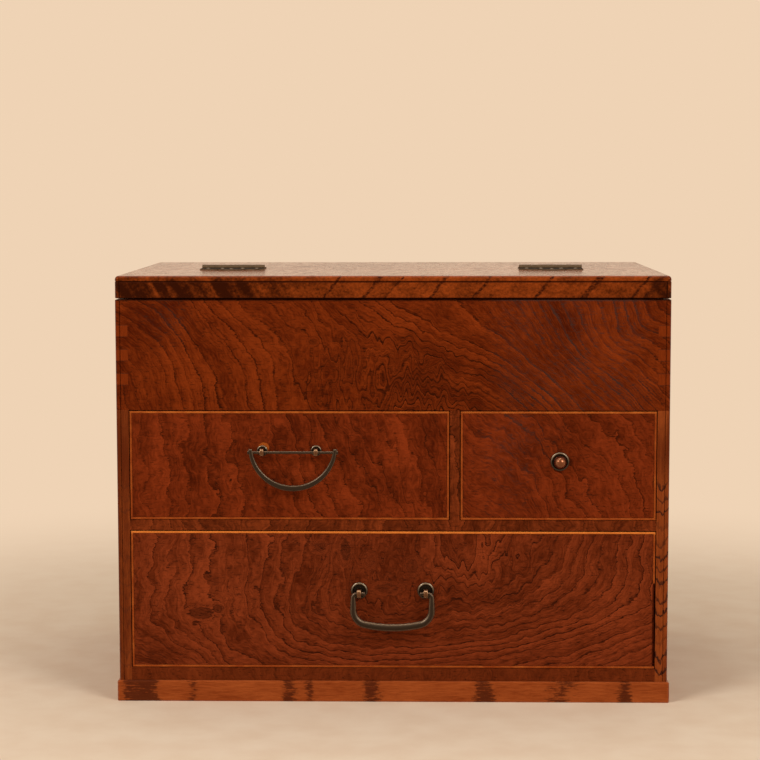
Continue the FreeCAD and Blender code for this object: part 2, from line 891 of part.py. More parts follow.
def handle_posts(kind, centre, bore):
    """A pair of eye posts with their rosettes; the eyes hang a little below the shanks."""
    posts, rosettes = [], []
    shank_z = f"{kind}_pull_z + {kind}_eye_sag"
    for side, sign in BOTH_SIDES:
        x = f"{centre} + {sign} * {kind}_post_spacing / 2"
        post = eye_post(f"{kind}_post_{side}", kind, x, shank_z, bore)
        posts.append(post)
        rosettes.append(rosette(f"{kind}_rosette_{side}", kind, x, shank_z, post))
    keep(group(f"{kind}_handle_posts", posts), f"{kind}_handle_posts")
    keep(group(f"{kind}_handle_rosettes", rosettes), f"{kind}_handle_rosettes")
    return posts


# Rod handle: two eye posts, a straight rod through them, and a crescent bail riveted on the rod
rod_posts = handle_posts("rod", "rod_pull_x", "rod_radius + pivot_clearance")


def rod_length(name, radius, start, length):
    return bar(name, "x", radius, (start, "rod_pivot_y", "rod_pull_z"), length)


rod_start = "rod_bail_x - rod_half - rod_rivet_length"
rod = joined(
    "rod_handle_rod",
    rod_length("rod_bar", "rod_radius", rod_start, "2 * (rod_half + rod_rivet_length)"),
    rod_length("rod_rivet_left", "rod_rivet_radius", rod_start, "rod_rivet_length"),
    rod_length("rod_rivet_right", "rod_rivet_radius", "rod_bail_x + rod_half", "rod_rivet_length"),
)
keep(rod, "rod_handle_rod")


def bail_disc(name, half, drop):
    """A disc whose edge passes the rod at half to each side, and drops below it by drop."""
    radius = f"(({half})^2 + ({drop})^2) / (2 * ({drop}))"
    height = f"rod_pull_z - ({drop}) + {radius}"
    near_face = "rod_pivot_y - rod_bail_thickness / 2"
    return bar(name, "y", radius, ("rod_bail_x", near_face, height), "rod_bail_thickness")


crescent = overlap(
    "rod_handle_crescent",
    cut(
        "rod_handle_ring",
        bail_disc("rod_handle_outer", "rod_half", "rod_bail_drop"),
        bail_disc("rod_handle_inner", "rod_half - rod_bail_limb", "rod_bail_drop - rod_bail_belly"),
    ),
    block(
        "rod_handle_span",
        ("rod_bail_x - 2 * rod_half", "rod_bail_x + 2 * rod_half"),
        ("rod_pivot_y - rod_bail_thickness", "rod_pivot_y + rod_bail_thickness"),
        ("rod_pull_z - 2 * rod_half", "rod_pull_z + rod_bail_rise"),
    ),
)
crescent_soft = rounded(
    "rod_handle_crescent_soft", crescent, "rod_bail_round", ("front",), ("back",)
)
keep(cut("rod_handle_bail", crescent_soft, rod), "rod_handle_bail")

# Bent handle: two eye posts, and a bail whose ends turn inward through the eyes
bent_posts = handle_posts("bent", "0", "bent_end_radius + pivot_clearance")


def arc(centre, start, end):
    """The short arc about a centre from start to end."""
    middle = (start - centre) + (end - centre)
    middle.normalize()
    return Part.Arc(start, centre + middle * (start - centre).Length, end).toShape()


def bent_spine():
    """The bail's line from one turned end to the other, about the middle of its pivot."""
    reach = size("bent_post_spacing") / 2 + size("bent_limb_offset")
    drop = size("bent_drop")
    bend, corner, bow = size("bent_end_bend"), size("bent_corner_bend"), size("bent_bow_radius")
    at = FreeCAD.Vector
    bow_centre = at(0, 0, bow - drop)
    corner_drop = math.sqrt((bow - corner) ** 2 - (reach - corner) ** 2) - bow + drop
    corner_centre = at(corner - reach, 0, -corner_drop)
    meeting = bow_centre + (corner_centre - bow_centre) * (bow / (bow - corner))
    lowest = at(0, 0, -drop)
    limb_top, limb_foot = at(-reach, 0, -bend), at(-reach, 0, -corner_drop)
    half = [
        arc(at(bend - reach, 0, -bend), at(bend - reach, 0, 0), limb_top),
        Part.LineSegment(limb_top, limb_foot).toShape(),
        arc(corner_centre, limb_foot, meeting),
    ]
    other = Part.Wire(half).mirror(at(0, 0, 0), at(1, 0, 0)).Edges
    bow_arc = Part.Arc(meeting, lowest, at(-meeting.x, 0, meeting.z)).toShape()
    return Part.Wire(Part.__sortEdges__(half + [bow_arc] + other))


def bail_section(name, half_height, half_depth, x, z, along):
    """An oval section of the bail, square to its line."""
    made = doc.addObject("Part::Ellipse", name)
    made.Placement.Rotation = LAID_ALONG[along]
    made.setExpression("MajorRadius", bound(half_height))
    made.setExpression("MinorRadius", bound(half_depth))
    return put(made, x, "bent_pivot_y", z)


def bent_end_section(side, sign):
    x = f"{sign} * (bent_limb_reach - bent_end_bend)"
    return bail_section(f"bent_end_{side}", "bent_end_radius", "bent_end_radius", x, "bent_pull_z", "x")


def bent_limb_section(side, sign):
    x, z = f"{sign} * bent_limb_reach", "bent_pull_z - bent_end_bend"
    return bail_section(f"bent_limb_{side}", "bent_limb_radius", "bent_limb_radius", x, z, "z")


def bent_pin(side, sign):
    """The straight end that turns in an eye, rounded where it shows."""
    inner_end, outer_end = "bent_post_spacing / 2 - bent_end_overhang", "bent_limb_reach - bent_end_bend"
    low, high = mirrored(sign, inner_end, outer_end)
    straight = bar(
        f"bent_pin_{side}",
        "x",
        "bent_end_radius",
        (low, "bent_pivot_y", "bent_pull_z"),
        f"({high}) - ({low})",
    )
    return rounded(
        f"bent_pin_{side}_soft", straight, "edging_round", ("left",) if sign == RIGHT else ("right",)
    )


spine = doc.addObject("Part::Feature", "bent_handle_spine")
spine.Shape = bent_spine()
put(spine, "0", "bent_pivot_y", "bent_pull_z")
bent_belly = bail_section(
    "bent_belly",
    "bent_belly_half_height",
    "bent_belly_half_depth",
    "0",
    "bent_pull_z - bent_drop",
    "x",
)
bent_bar = doc.addObject("Part::Sweep", "bent_handle_bar")
bent_bar.Sections = [
    bent_end_section("left", LEFT),
    bent_limb_section("left", LEFT),
    bent_belly,
    bent_limb_section("right", RIGHT),
    bent_end_section("right", RIGHT),
]
bent_bar.Spine = (spine, [f"Edge{number + 1}" for number in range(len(spine.Shape.Edges))])
bent_bar.Solid = True
bent_bar.Frenet = False


def bent_collar(side, sign):
    place = (f"{sign} * bent_limb_reach", "bent_pivot_y", "bent_pull_z - bent_corner_drop")
    return ring(f"bent_collar_{side}", "z", "bent_limb_radius", "bent_collar_rim", place)


bent_ends = [
    made(side, sign)
    for made in (bent_pin, bent_collar)
    for side, sign in BOTH_SIDES
]
keep(joined("bent_handle_bail", bent_bar, *bent_ends), "bent_handle_bail")


# Knob: a round head on a short collared neck, through a rosette
def knob_part(name, radius, near, length):
    return bar(name, "y", radius, ("knob_x", near, "knob_z"), length)


head_middle = "front - knob_projection + knob_head_length / 2"
knob_head = doc.addObject("Part::Ellipsoid", "knob_head")
knob_head.setExpression("Radius1", bound("knob_radius"))
knob_head.setExpression("Radius2", bound("knob_radius"))
knob_head.setExpression("Radius3", bound("knob_head_length / 2"))
put(knob_head, "knob_x", head_middle, "knob_z")
knob_base = "front - knob_rosette_thickness"
knob_collar = rounded(
    "knob_collar_soft",
    knob_part(
        "knob_collar", "knob_collar_radius", f"{knob_base} - knob_collar_length", "knob_collar_length"
    ),
    "edging_round",
    ("front",),
)
knob = joined(
    "drawer_knob",
    knob_head,
    knob_part("knob_neck", "knob_neck_radius", head_middle, f"{knob_base} - ({head_middle})"),
    knob_collar,
    knob_part(
        "knob_shank",
        "knob_shank_radius",
        knob_base,
        f"drawer_front_inner + post_leg_thickness - ({knob_base})",
    ),
    post_legs("knob", "knob_x", "knob_z"),
)
keep(knob, "drawer_knob")
keep(
    rosette("knob_rosette", "knob", "knob_x", "knob_z", knob),
    "knob_rosette",
)

drawer("small_left_drawer", "-inner_half", "divider_left", "shelf_top", "upper_under", rod_posts)
drawer("small_right_drawer", "divider_right", "inner_half", "shelf_top", "upper_under", [knob])
drawer(
    "large_drawer",
    "-inner_half",
    "inner_half",
    "bottom_top",
    "shelf_under",
    bent_posts,
    right_strip_length="broken_strip_length",
)

# Everything is sound before anything is written
doc.recompute()
failed = [item.Label for item in doc.Objects if {"Invalid", "Error"} & set(item.State)]
if failed:
    raise RuntimeError(f"failed: {failed}")
unsound = [item.Label for item in finished if item.Shape.isNull() or not item.Shape.isValid()]
if unsound:
    raise RuntimeError(f"unsound: {unsound}")
os.makedirs("parts", exist_ok=True)
for item in finished:
    item.Shape.exportStep(f"parts/{item.Label}.step")
print(len(finished), "pieces written")
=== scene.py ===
import math
from typing import NamedTuple

import bpy
from mathutils import Matrix, Vector


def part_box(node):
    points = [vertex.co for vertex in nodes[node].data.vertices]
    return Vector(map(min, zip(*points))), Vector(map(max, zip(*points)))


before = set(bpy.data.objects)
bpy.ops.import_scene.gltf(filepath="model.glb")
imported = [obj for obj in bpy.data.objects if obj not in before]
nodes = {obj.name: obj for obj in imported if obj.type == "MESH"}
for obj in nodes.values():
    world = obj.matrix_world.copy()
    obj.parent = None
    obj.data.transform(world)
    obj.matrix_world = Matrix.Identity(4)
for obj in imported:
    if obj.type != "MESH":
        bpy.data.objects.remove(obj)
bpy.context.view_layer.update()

# Materials work in millimetres, the frame in metres
TO_MM = 1000.0


def linear(code):
    """Colour with alpha for a shader socket, from an sRGB hex code."""
    channels = (int(code[i:i + 2], 16) / 255 for i in (1, 3, 5))
    return tuple(c / 12.92 if c <= 0.04045 else ((c + 0.055) / 1.055) ** 2.4 for c in channels) + (1.0,)


# Camera, fitted to the photograph's perspective
LENS = 98.364
SENSOR = 36.0
CAMERA_PLACE = Vector((0.02192, -1.46217, 0.34697))
CAMERA_YAW = math.radians(-1.2702)
CAMERA_PITCH = math.radians(5.5637)
CAMERA_ROLL = math.radians(-0.0764)

# Studio: cream surroundings, two soft boxes in front and a weaker one overhead
CREAM = "#efd3b5"
FLOOR_LOW = "#e2cdb5"
FLOOR_HIGH = "#e9d8c2"
AMBIENT = 0.32
FLOOR_RADIUS = 4.0
FLOOR_SIDES = 96
FLOOR_FIBRE = (30.0, 30.0, 30.0)
FLOOR_FADE = (180.0, 800.0)
SOFT_BOX_SIZE = 0.9
SOFT_BOX_COLOUR = (1.0, 0.96, 0.91)
SOFT_BOXES = {
    "soft_box_left": ((-1.35, -1.35, 1.45), 23.0),
    "soft_box_right": ((1.35, -1.45, 1.35), 20.0),
    "soft_box_top": ((0.0, 0.1, 1.55), 6.0),
}
LIT_POINT = Vector((0.0, 0.0, 0.13))

# Lacquer over wood, and the tones of each wood from shaded to bright, with its dark lines
LACQUER = {"Specular_IOR_Level": 0.35, "Specular_Tint": linear("#ff8248")}
LID_LACQUER = {"Specular_IOR_Level": 0.35, "Specular_Tint": linear("#ff7c44")}
BARE_WOOD = {"Specular_IOR_Level": 0.2}


class Tones(NamedTuple):
    low: str
    high: str
    dark: str


UPPER_TONES = Tones("#330600", "#80330f", "#120200")
DRAWER_TONES = Tones("#390f03", "#863a1c", "#180604")
SMALL_TONES = Tones("#390d02", "#823314", "#150401")
RAIL_TONES = Tones("#340f04", "#803818", "#1a0602")
SIDE_TONES = Tones("#54210c", "#964a20", "#2c1712")
LID_TONES = Tones("#421202", "#a2481a", "#160502")
LID_EDGE_TONES = LID_TONES._replace(low="#140300", high="#9c4617")
PLINTH_TONES = Tones("#6c290c", "#a85628", "#30110b")
INNER_TONES = Tones("#7a5230", "#a37848", "#55351d")
BOX_TONES = Tones("#a8865c", "#cbab7e", "#7d5c3a")
EDGING_TONES = Tones("#803412", "#da7e36", "#5a220a")
PEG_TONES = Tones("#5a3216", "#7c4a22", "#3a1e0c")
PORE_GREY = "#332421"
RUBBED = "#a8561c"
# Pale colour of the plinth's rubbed edges, which also serves as a painted highlight
PALE_WEAR_HIGHLIGHT = "#b08468"

# Roughness of each finish; the lid's is for its face and for its rounded edge
LACQUER_ROUGHNESS = 0.3
BOARD_ROUGHNESS = 0.35
INNER_ROUGHNESS = 0.55
BOX_ROUGHNESS = 0.62
LID_ROUGHNESS = (0.4, 0.08)

# Strength of the relief; its depth, softened edges and rubbed edges are in metres
WOOD_RELIEF = 0.25
METAL_RELIEF = 0.15
RELIEF_DEPTH = 0.0004
WOOD_EDGE = 0.0004
METAL_EDGE = 0.0002
LID_RUB = 0.0012
STILE_RUB = 0.0014
PLINTH_RUB = 0.0016

# Noise comes as about 0.2 to 0.8, and this spreads it to about -1 to 1
NOISE_GAIN = 3.4

# The colour sockets of a Mix node: factor, first and second, and its result
MIX_COLOURS = (0, 6, 7)
MIX_RESULT = 2


class Value:
    """A socket of a node tree; arithmetic on it adds nodes to that tree."""

    def __init__(self, tree, socket):
        self.tree = tree
        self.socket = socket

    def __add__(self, other):
        return self.tree.math("ADD", self, other)

    def __sub__(self, other):
        return self.tree.math("SUBTRACT", self, other)

    def __rsub__(self, other):
        return self.tree.math("SUBTRACT", other, self)

    def __mul__(self, other):
        return self.tree.math("MULTIPLY", self, other)

    def __truediv__(self, other):
        return self.tree.math("DIVIDE", self, other)

    __radd__ = __add__
    __rmul__ = __mul__


class Tree:
    """Short names for the nodes that the materials use."""

    def __init__(self, owner):
        owner.use_nodes = True
        self.nodes = owner.node_tree.nodes
        self.links = owner.node_tree.links
        self.nodes.clear()

    def node(self, kind, inputs=(), **settings):
        """Adds a node; inputs maps a socket's name or number to a value, a number or a colour."""
        made = self.nodes.new("ShaderNode" + kind)
        for name, setting in settings.items():
            setattr(made, name, setting)
        for key, value in dict(inputs).items():
            self.feed(made.inputs[key], value)
        return made

    def feed(self, socket, value):
        if isinstance(value, Value):
            self.links.new(value.socket, socket)
        else:
            socket.default_value = value

    def value(self, node, output=0):
        return Value(self, node.outputs[output])

    def math(self, operation, *operands, clamp=False):
        return self.value(self.node("Math", enumerate(operands), operation=operation, use_clamp=clamp))

    def vector(self, operation, *operands, output=0):
        return self.value(self.node("VectorMath", enumerate(operands), operation=operation), output)

    def rise(self, value, low, high, bottom=0.0, top=1.0):
        """Smooth step from bottom to top as the value goes from low to high."""
        inputs = {"Value": value, "From Min": low, "From Max": high, "To Min": bottom, "To Max": top}
        return self.value(self.node("MapRange", inputs, interpolation_type="SMOOTHSTEP"))

    def mix(self, factor, first, second):
        """Mix of two colours."""
        made = self.node("Mix", data_type="RGBA")
        for key, value in zip(MIX_COLOURS, (factor, first, second)):
            self.feed(made.inputs[key], value)
        return self.value(made, MIX_RESULT)

    def place(self):
        """Point on the surface at rest, in millimetres."""
        return self.vector("MULTIPLY", self.value(self.node("TexCoord"), "Object"), (TO_MM,) * 3)

    def apart(self, point):
        """The three coordinates of a point."""
        made = self.node("SeparateXYZ", {0: point})
        return [self.value(made, i) for i in range(3)]

    def noise(self, point, lengths, detail=2.0, roughness=0.5):
        """Noise from about -1 to 1, with features of the given lengths along X, Y and Z."""
        scaled = self.vector("DIVIDE", point, lengths)
        inputs = {"Vector": scaled, "Scale": 1.0, "Detail": detail, "Roughness": roughness}
        raw = self.value(self.node("TexNoise", inputs))
        return self.math("MULTIPLY_ADD", raw, NOISE_GAIN, -NOISE_GAIN / 2)


def material(name):
    made = bpy.data.materials.new(name)
    return made, Tree(made)


def surface(tree, colour, roughness, height, relief, edge_radius, **constants):
    """Ends a material: shader with softened edges, relief and roughness from nodes."""
    soft = tree.value(tree.node("Bevel", {"Radius": edge_radius}, samples=4))
    bump = tree.node("Bump", {"Height": height, "Strength": relief, "Distance": RELIEF_DEPTH, "Normal": soft})
    inputs = {"Base Color": colour, "Roughness": roughness, "Normal": tree.value(bump)}
    shader = tree.node("BsdfPrincipled", inputs)
    for socket, value in constants.items():
        shader.inputs[socket.replace("_", " ")].default_value = value
    output = tree.node("OutputMaterial")
    tree.links.new(shader.outputs[0], output.inputs["Surface"])


class Flow(NamedTuple):
    """Straight run of growth rings: centre in millimetres, heading in degrees, rings counted to its left."""

    x: float
    z: float
    heading: float
    spacing: float
    reach: float = 24.0

    def slope(self):
        turn = math.radians(self.heading)
        return Vector((-math.sin(turn), 0.0, math.cos(turn))) / self.spacing

    def centre(self):
        return Vector((self.x, 0.0, self.z))


class Patch(NamedTuple):
    """Soft round patch: centre, radius and what it adds at its middle."""

    x: float
    z: float
    radius: float
    amount: float


class Knot(NamedTuple):
    """Oval eye that the rings run round: centre, half sizes, and how dark its heart is."""

    x: float
    z: float
    half_width: float
    half_height: float
    heart: float


class Figure(NamedTuple):
    """Grain of a board: burls swing its rings, patches shift its shade, greys dull its lines."""

    flows: tuple
    burls: tuple = ()
    knots: tuple = ()
    patches: tuple = ()
    greys: tuple = ()
    sway: float = 0.3
    lines: float = 1.0
    contrast: float = 1.0


# Figure of each board, placed from the photograph; the lid's top and the sides are free designs
UPPER_FIGURE = Figure(
    flows=(
        Flow(-168, 252, -28, 7),
        Flow(-162, 216, -74, 7, 18),
        Flow(-150, 236, -46, 6.5),
        Flow(-136, 208, -76, 6.5),
        Flow(-112, 240, -50, 8),
        Flow(-96, 210, -78, 7.5),
        Flow(-72, 254, -38, 12),
        Flow(-62, 224, -74, 11),
        Flow(-24, 252, -26, 7),
        Flow(-30, 214, -66, 9),
        Flow(14, 236, -22, 4.5),
        Flow(26, 208, -18, 5),
        Flow(56, 222, -22, 4),
        Flow(36, 260, -70, 11, 18),
        Flow(66, 244, -45, 7.5),
        Flow(98, 232, -46, 5),
        Flow(90, 208, -36, 4),
        Flow(114, 210, -48, 4.5),
        Flow(104, 258, -58, 6),
        Flow(128, 246, -82, 7, 16),
        Flow(145, 216, -40, 5.2),
        Flow(151, 254, -84, 6.5, 16),
        Flow(168, 230, -48, 6.5),
    ),
    burls=(Patch(-34, 220, 26, 2.4), Patch(8, 214, 28, 2.2), Patch(40, 204, 24, 1.4)),
    knots=(Knot(-52, 240, 2.6, 2.0, 0.4),),
    patches=(
        Patch(-166, 258, 24, -0.5),
        Patch(-152, 222, 14, 0.3),
        Patch(-128, 214, 12, 0.35),
        Patch(-92, 236, 20, 0.35),
        Patch(-60, 246, 14, 0.35),
        Patch(-4, 250, 24, 0.45),
        Patch(-20, 214, 22, -0.25),
        Patch(30, 216, 20, -0.2),
        Patch(60, 256, 14, 0.3),
        Patch(112, 254, 12, -0.5),
        Patch(138, 246, 9, 0.4),
        Patch(146, 230, 8, 0.5),
        Patch(160, 208, 10, 0.35),
        Patch(166, 258, 14, -0.3),
    ),
    greys=(Patch(120, 236, 60, 1.1), Patch(-150, 254, 26, 0.7)),
)
LARGE_FIGURE = Figure(
    flows=(
        Flow(-158, 98, -94, 12),
        Flow(-160, 62, -84, 12),
        Flow(-150, 36, -30, 7),
        Flow(-98, 98, -92, 13),
        Flow(-98, 62, -84, 11),
        Flow(-60, 92, -92, 14),
        Flow(-74, 46, -44, 7),
        Flow(-42, 34, -10, 5),
        Flow(0, 34, 0, 5),
        Flow(46, 38, 8, 4.5),
        Flow(90, 48, 15, 4.3),
        Flow(134, 60, 22, 5),
        Flow(136, 36, 24, 5),
        Flow(80, 70, 30, 6),
        Flow(108, 84, 50, 7),
        Flow(136, 96, 66, 8),
        Flow(162, 100, 80, 9),
        Flow(70, 94, 76, 8),
        Flow(34, 70, 30, 8),
        Flow(-30, 66, -40, 9),
        Flow(0, 88, -10, 40),
    ),
    burls=(Patch(-20, 92, 46, 0.9), Patch(60, 92, 36, 1.2), Patch(-100, 80, 50, 0.35)),
    knots=(
        Knot(-127, 59.4, 9, 4.4, 0.55),
        Knot(-116, 62.4, 3.4, 3, 0.5),
        Knot(-31, 102, 3.2, 7, 0.5),
        Knot(-15, 95, 3.4, 4, 0.2),
        Knot(13, 91, 4, 5, 0.3),
        Knot(-4, 76.4, 8, 3, 0.35),
        Knot(-48, 104, 4, 3.4, 0.4),
    ),
    patches=(
        Patch(-120, 72, 24, 0.45),
        Patch(-114, 98, 12, 0.4),
        Patch(-92, 90, 12, -0.3),
        Patch(-150, 40, 24, -0.3),
        Patch(60, 98, 10, 0.45),
        Patch(0, 104, 30, -0.2),
        Patch(140, 46, 30, 0.2),
        Patch(150, 70, 14, 0.25),
    ),
    sway=0.5,
)
LEFT_FIGURE = Figure(
    flows=(
        Flow(-150, 158, -86, 14),
        Flow(-100, 158, -80, 16),
        Flow(-50, 150, -70, 12),
        Flow(-10, 160, -60, 12),
        Flow(24, 160, -76, 10),
    ),
    burls=(
        Patch(8, 144, 24, 0.9),
        Patch(-14, 180, 16, 0.8),
        Patch(-64, 180, 16, 0.7),
        Patch(-110, 150, 30, 0.4),
    ),
    patches=(
        Patch(-129, 160, 17, -0.45),
        Patch(-62, 182, 11, -0.4),
        Patch(25, 184, 10, -0.45),
        Patch(8, 178, 12, 0.5),
        Patch(-40, 146, 15, 0.3),
        Patch(4, 146, 15, -0.25),
        Patch(-96, 150, 12, 0.3),
        Patch(-152, 176, 12, 0.25),
        Patch(-22, 168, 8, -0.4),
        Patch(2, 162, 8, 0.35),
        Patch(-108, 180, 9, 0.3),
        Patch(-74, 148, 10, -0.3),
    ),
    sway=0.45,
    lines=0.95,
    contrast=1.1,
)
RIGHT_FIGURE = Figure(
    flows=(
        Flow(60, 176, -40, 9),
        Flow(70, 145, -34, 10),
        Flow(100, 170, -52, 8),
        Flow(120, 140, -56, 12),
        Flow(140, 178, -44, 13),
        Flow(160, 150, -74, 12),
    ),
    burls=(Patch(110, 170, 40, 0.5),),
    patches=(
        Patch(88, 166, 12, -0.4),
        Patch(142, 150, 24, 0.35),
        Patch(60, 150, 16, 0.2),
        Patch(120, 184, 14, -0.3),
    ),
    greys=(Patch(80, 170, 40, 0.8),),
    sway=0.5,
    lines=0.8,
)
RAIL_FIGURE = Figure(
    flows=(
        Flow(-150, 60, -80, 11, 60),
        Flow(-60, 118, -96, 13, 60),
        Flow(40, 118, -84, 10, 60),
        Flow(140, 60, -92, 12, 60),
    ),
    sway=0.6,
    contrast=1.1,
)
BOTTOM_RAIL_FIGURE = RAIL_FIGURE._replace(lines=0.3, contrast=0.6)
LID_FIGURE = Figure(
    flows=(
        Flow(-150, -80, 96, 13, 45),
        Flow(-140, 60, 74, 10, 45),
        Flow(-80, -40, 78, 15, 45),
        Flow(-60, 70, 108, 12, 45),
        Flow(0, -80, 66, 14, 45),
        Flow(20, 20, 92, 18, 45),
        Flow(70, -60, 58, 13, 45),
        Flow(90, 70, 84, 11, 45),
        Flow(150, -70, 80, 12, 45),
        Flow(160, 50, 104, 10, 45),
    ),
    burls=(Patch(-40, 20, 46, 1.1), Patch(80, -20, 34, 0.7), Patch(130, 80, 26, 0.8)),
    knots=(Knot(-66, 34, 6, 9, 0.5), Knot(112, 74, 4, 6, 0.4)),
    patches=(
        Patch(-120, -40, 40, 0.3),
        Patch(-30, 60, 36, -0.3),
        Patch(50, -30, 44, 0.3),
        Patch(140, 60, 40, -0.25),
    ),
    sway=0.6,
    lines=0.8,
)
SIDE_FIGURE = Figure(
    flows=(
        Flow(-80, 60, 84, 10, 40),
        Flow(-30, 50, 64, 12, 40),
        Flow(50, 70, 108, 11, 40),
        Flow(-70, 190, 98, 9, 40),
        Flow(0, 130, 88, 18, 40),
        Flow(0, 220, 74, 14, 40),
        Flow(70, 200, 102, 10, 40),
    ),
    burls=(Patch(10, 130, 44, 0.9), Patch(-50, 220, 30, 0.6)),
    knots=(Knot(12, 138, 7, 12, 0.35),),
    patches=(
        Patch(-60, 120, 40, 0.3),
        Patch(40, 210, 40, 0.25),
        Patch(60, 60, 40, -0.3),
        Patch(-30, 240, 30, -0.3),
    ),
    sway=0.5,
    lines=0.8,
)

# Ring lines: width in millimetres, or as a share of the ring on plain boards and stiles
LINE_WIDTH = 0.85
SOFT_LINE = 0.25
STILE_LINE = 0.24

# Share of a line's darkness that fades out over the ring, and rings in a knot's own size
LINE_TAIL = 0.25
KNOT_RINGS = 1.3

# Fine lines between the ring lines: how many to a ring, and how much wider they are for it
MINOR_LINES = 3.1
MINOR_WIDTH = 2.2

# Streaks along the rings: how many across a ring, and their length in millimetres
BANDS = (1.7, 24.0)
FIBRES = (8.0, 5.0)

# Sizes of what varies over a figured board, in millimetres along its X and Z
GRAIN_SWAY = (20.0, 1.0, 16.0)
GRAIN_WILD = (7.5, 1.0, 26.0)
GRAIN_TEETH = (6.0, 1.0, 1.1)
GRAIN_FINE_TEETH = (2.6, 1.0, 1.8)
GRAIN_DUST = (60.0, 1.0, 50.0)
GRAIN_PORES = (5.0, 1.0, 1.1)
GRAIN_BOLD = (18.0, 1.0, 14.0)
GRAIN_FINE = (30.0, 1.0, 24.0)
GRAIN_GLOW = (24.0, 1.0, 15.0)
KNOT_TEETH = (4.0, 1.0, 1.8)

# What each part adds to the shade of a figured board
SHADE_GLOW = 0.36
SHADE_BANDS = 0.24
SHADE_FIBRES = 0.48
SHADE_PATCHES = 0.8
SHADE_DROP = 0.06

# Strokes on the lid's front edge: middle and half width, their lean, and the height their middles are for
LID_STROKES = (
    (-39.8, 1.0),
    (-13.7, 1.4),
    (0.6, 0.9),
    (29.4, 1.3),
    (58.0, 1.2),
    (98.5, 1.3),
    (127.9, 1.0),
    (130.5, 1.6),
    (161.0, 1.2),
    (170.0, 2.0),
)
STROKE_LEAN = 0.8
STROKE_HEIGHT = 6.5

# Bead line round the lid's front edge, and the shaded ends with the lean of their bands
LID_BEAD = 279.3
LID_BEAD_INSET = 3.0
LID_BEAD_LINE = (0.3, 0.7)
LID_SHADED = (-110.0, -30.0)
LID_SHADED_END = (148.0, 180.0)
BAND_LEAN = 0.6

# Where the lid's look changes; its figure runs on over its ends and back at a slant
LID_FRONT, LID_UNDER = (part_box("lid_flap")[0][axis] * TO_MM for axis in (1, 2))
LID_HALF_WIDTH, LID_TOP = (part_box("lid_flap")[1][axis] * TO_MM for axis in (0, 2))
LID_MIDDLE = LID_UNDER + STROKE_HEIGHT
LID_EDGE = (LID_FRONT + 0.25, LID_FRONT + 3.25)
# Where the painted shade along the seam at the lid's lower edge fades out
LID_SEAM_SHADE = (LID_UNDER + 0.2, LID_UNDER + 0.9)
LID_ROUNDED = (LID_BEAD + 0.3, LID_BEAD + 1.0)
LID_WRAP = (0.8, 1.4)

# Sizes of what varies over the lid's front edge, in millimetres
LID_PORES = (2.2, 4.0, 1.2)
LID_WAVER = (5.0, 40.0, 5.0)
LID_BANDS = (9.0, 1.0, 1.0)
LID_GLOW = (14.0, 60.0, 9.0)
LID_SPECKLE = (1.6, 8.0, 1.3)

# Where the upper panel's look changes, and its finger joints with the sides
PANEL_UNDER, PANEL_TOP = (corner[2] * TO_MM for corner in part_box("upper_front"))
PANEL_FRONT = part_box("upper_front")[0][1] * TO_MM
PANEL_FACE = (PANEL_FRONT + 0.3, PANEL_FRONT + 1.0)
# Where the painted shade along the joint under the lid fades in
PANEL_SEAM_SHADE = (PANEL_TOP - 1.3, PANEL_TOP - 0.3)
PANEL_JOINT = (PANEL_UNDER - 0.4, PANEL_UNDER + 0.4)
FINGER_PITCH = 15.9
FINGER_HALF = 3.95
FINGER_LINE = (0.2, 0.5)

# Stiles: pointed marks up to a height, and a dim part above them
STILE_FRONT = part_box("right_side")[0][1] * TO_MM
STILE_EDGE = (STILE_FRONT + 0.75, STILE_FRONT + 2.75)
STILE_APEX = 177.0
STILE_SLANT = 1.1
STILE_MARKS = 9.5
STILE_MARKS_END = (140.0, 152.0)
STILE_DIM = Patch(0, 166, 16, -0.55)

# Sizes of what varies over the stiles, in millimetres
STILE_WAVER = (3.0, 3.0, 6.0)
STILE_SPACING = (60.0, 60.0, 26.0)
STILE_TEETH = (0.7, 0.7, 4.0)
STILE_GLOW = (3.0, 12.0, 40.0)
STILE_STREAKS = (0.7, 0.7, 6.0)

# Dark patches along the plinth, and the sizes of what varies over it, in millimetres
PLINTH_PATCHES = (
    Patch(-177, 0, 5, 0.8),
    Patch(-166, 0, 11, 1.5),
    Patch(-133, 0, 6, 1.0),
    Patch(-69, 0, 7, 1.1),
    Patch(-55, 0, 4, 0.9),
    Patch(-14, 0, 7, 1.0),
    Patch(61, 0, 10, 1.1),
    Patch(111, 0, 14, 1.0),
    Patch(154, 0, 6, 1.0),
)
PLINTH_STREAKS = (9.0, 9.0, 0.9)
PLINTH_SPECKLE = (3.0, 3.0, 1.4)
PLINTH_WAVES = (30.0, 30.0, 10.0)
PLINTH_CLOUDS = (26.0, 26.0, 20.0)
PLINTH_FIBRES = (8.0, 8.0, 0.7)

# Disc behind a handle's post where the finish is rubbed off, and the width of its soft edge
RUBBED_DISC = Patch(-84.8, 170.0, 3.9, 0.85)
RUBBED_BLUR = 0.7

# Plain boards: length of their grain to its width, width of waves and fibres, and darkness of their lines
BOARD_STRETCH = 24.0
BOARD_WAVES = 14.0
BOARD_FIBRES = 0.5
BOARD_LINES = 0.6

# Edging strips: where the top one's painted highlight begins, from its upper face, the painted shade of the
# others, and sizes
EDGING_TOP = (-2.2, -0.9)
EDGING_SHADE = -0.52
EDGING_FIBRES = (7.0, 7.0, 7.0)
EDGING_RINGS = (30.0, 30.0, 1.5)

# Mottling of the metals in millimetres, and where a rim lies and where its painted highlight falls, as shares
# of its radius
METAL_MOTTLE = (2.2, 2.2, 2.2)
METAL_CLOUDS = (7.0, 7.0, 7.0)
RIM_INSIDE = (0.78, 0.9)
RIM_OUTSIDE = (1.0, 1.1)
RIM_LIT = (-0.2, 0.7)


def between(first, second, factor):
    """First where the factor is 0, second where it is 1."""
    return first + (second - first) * factor


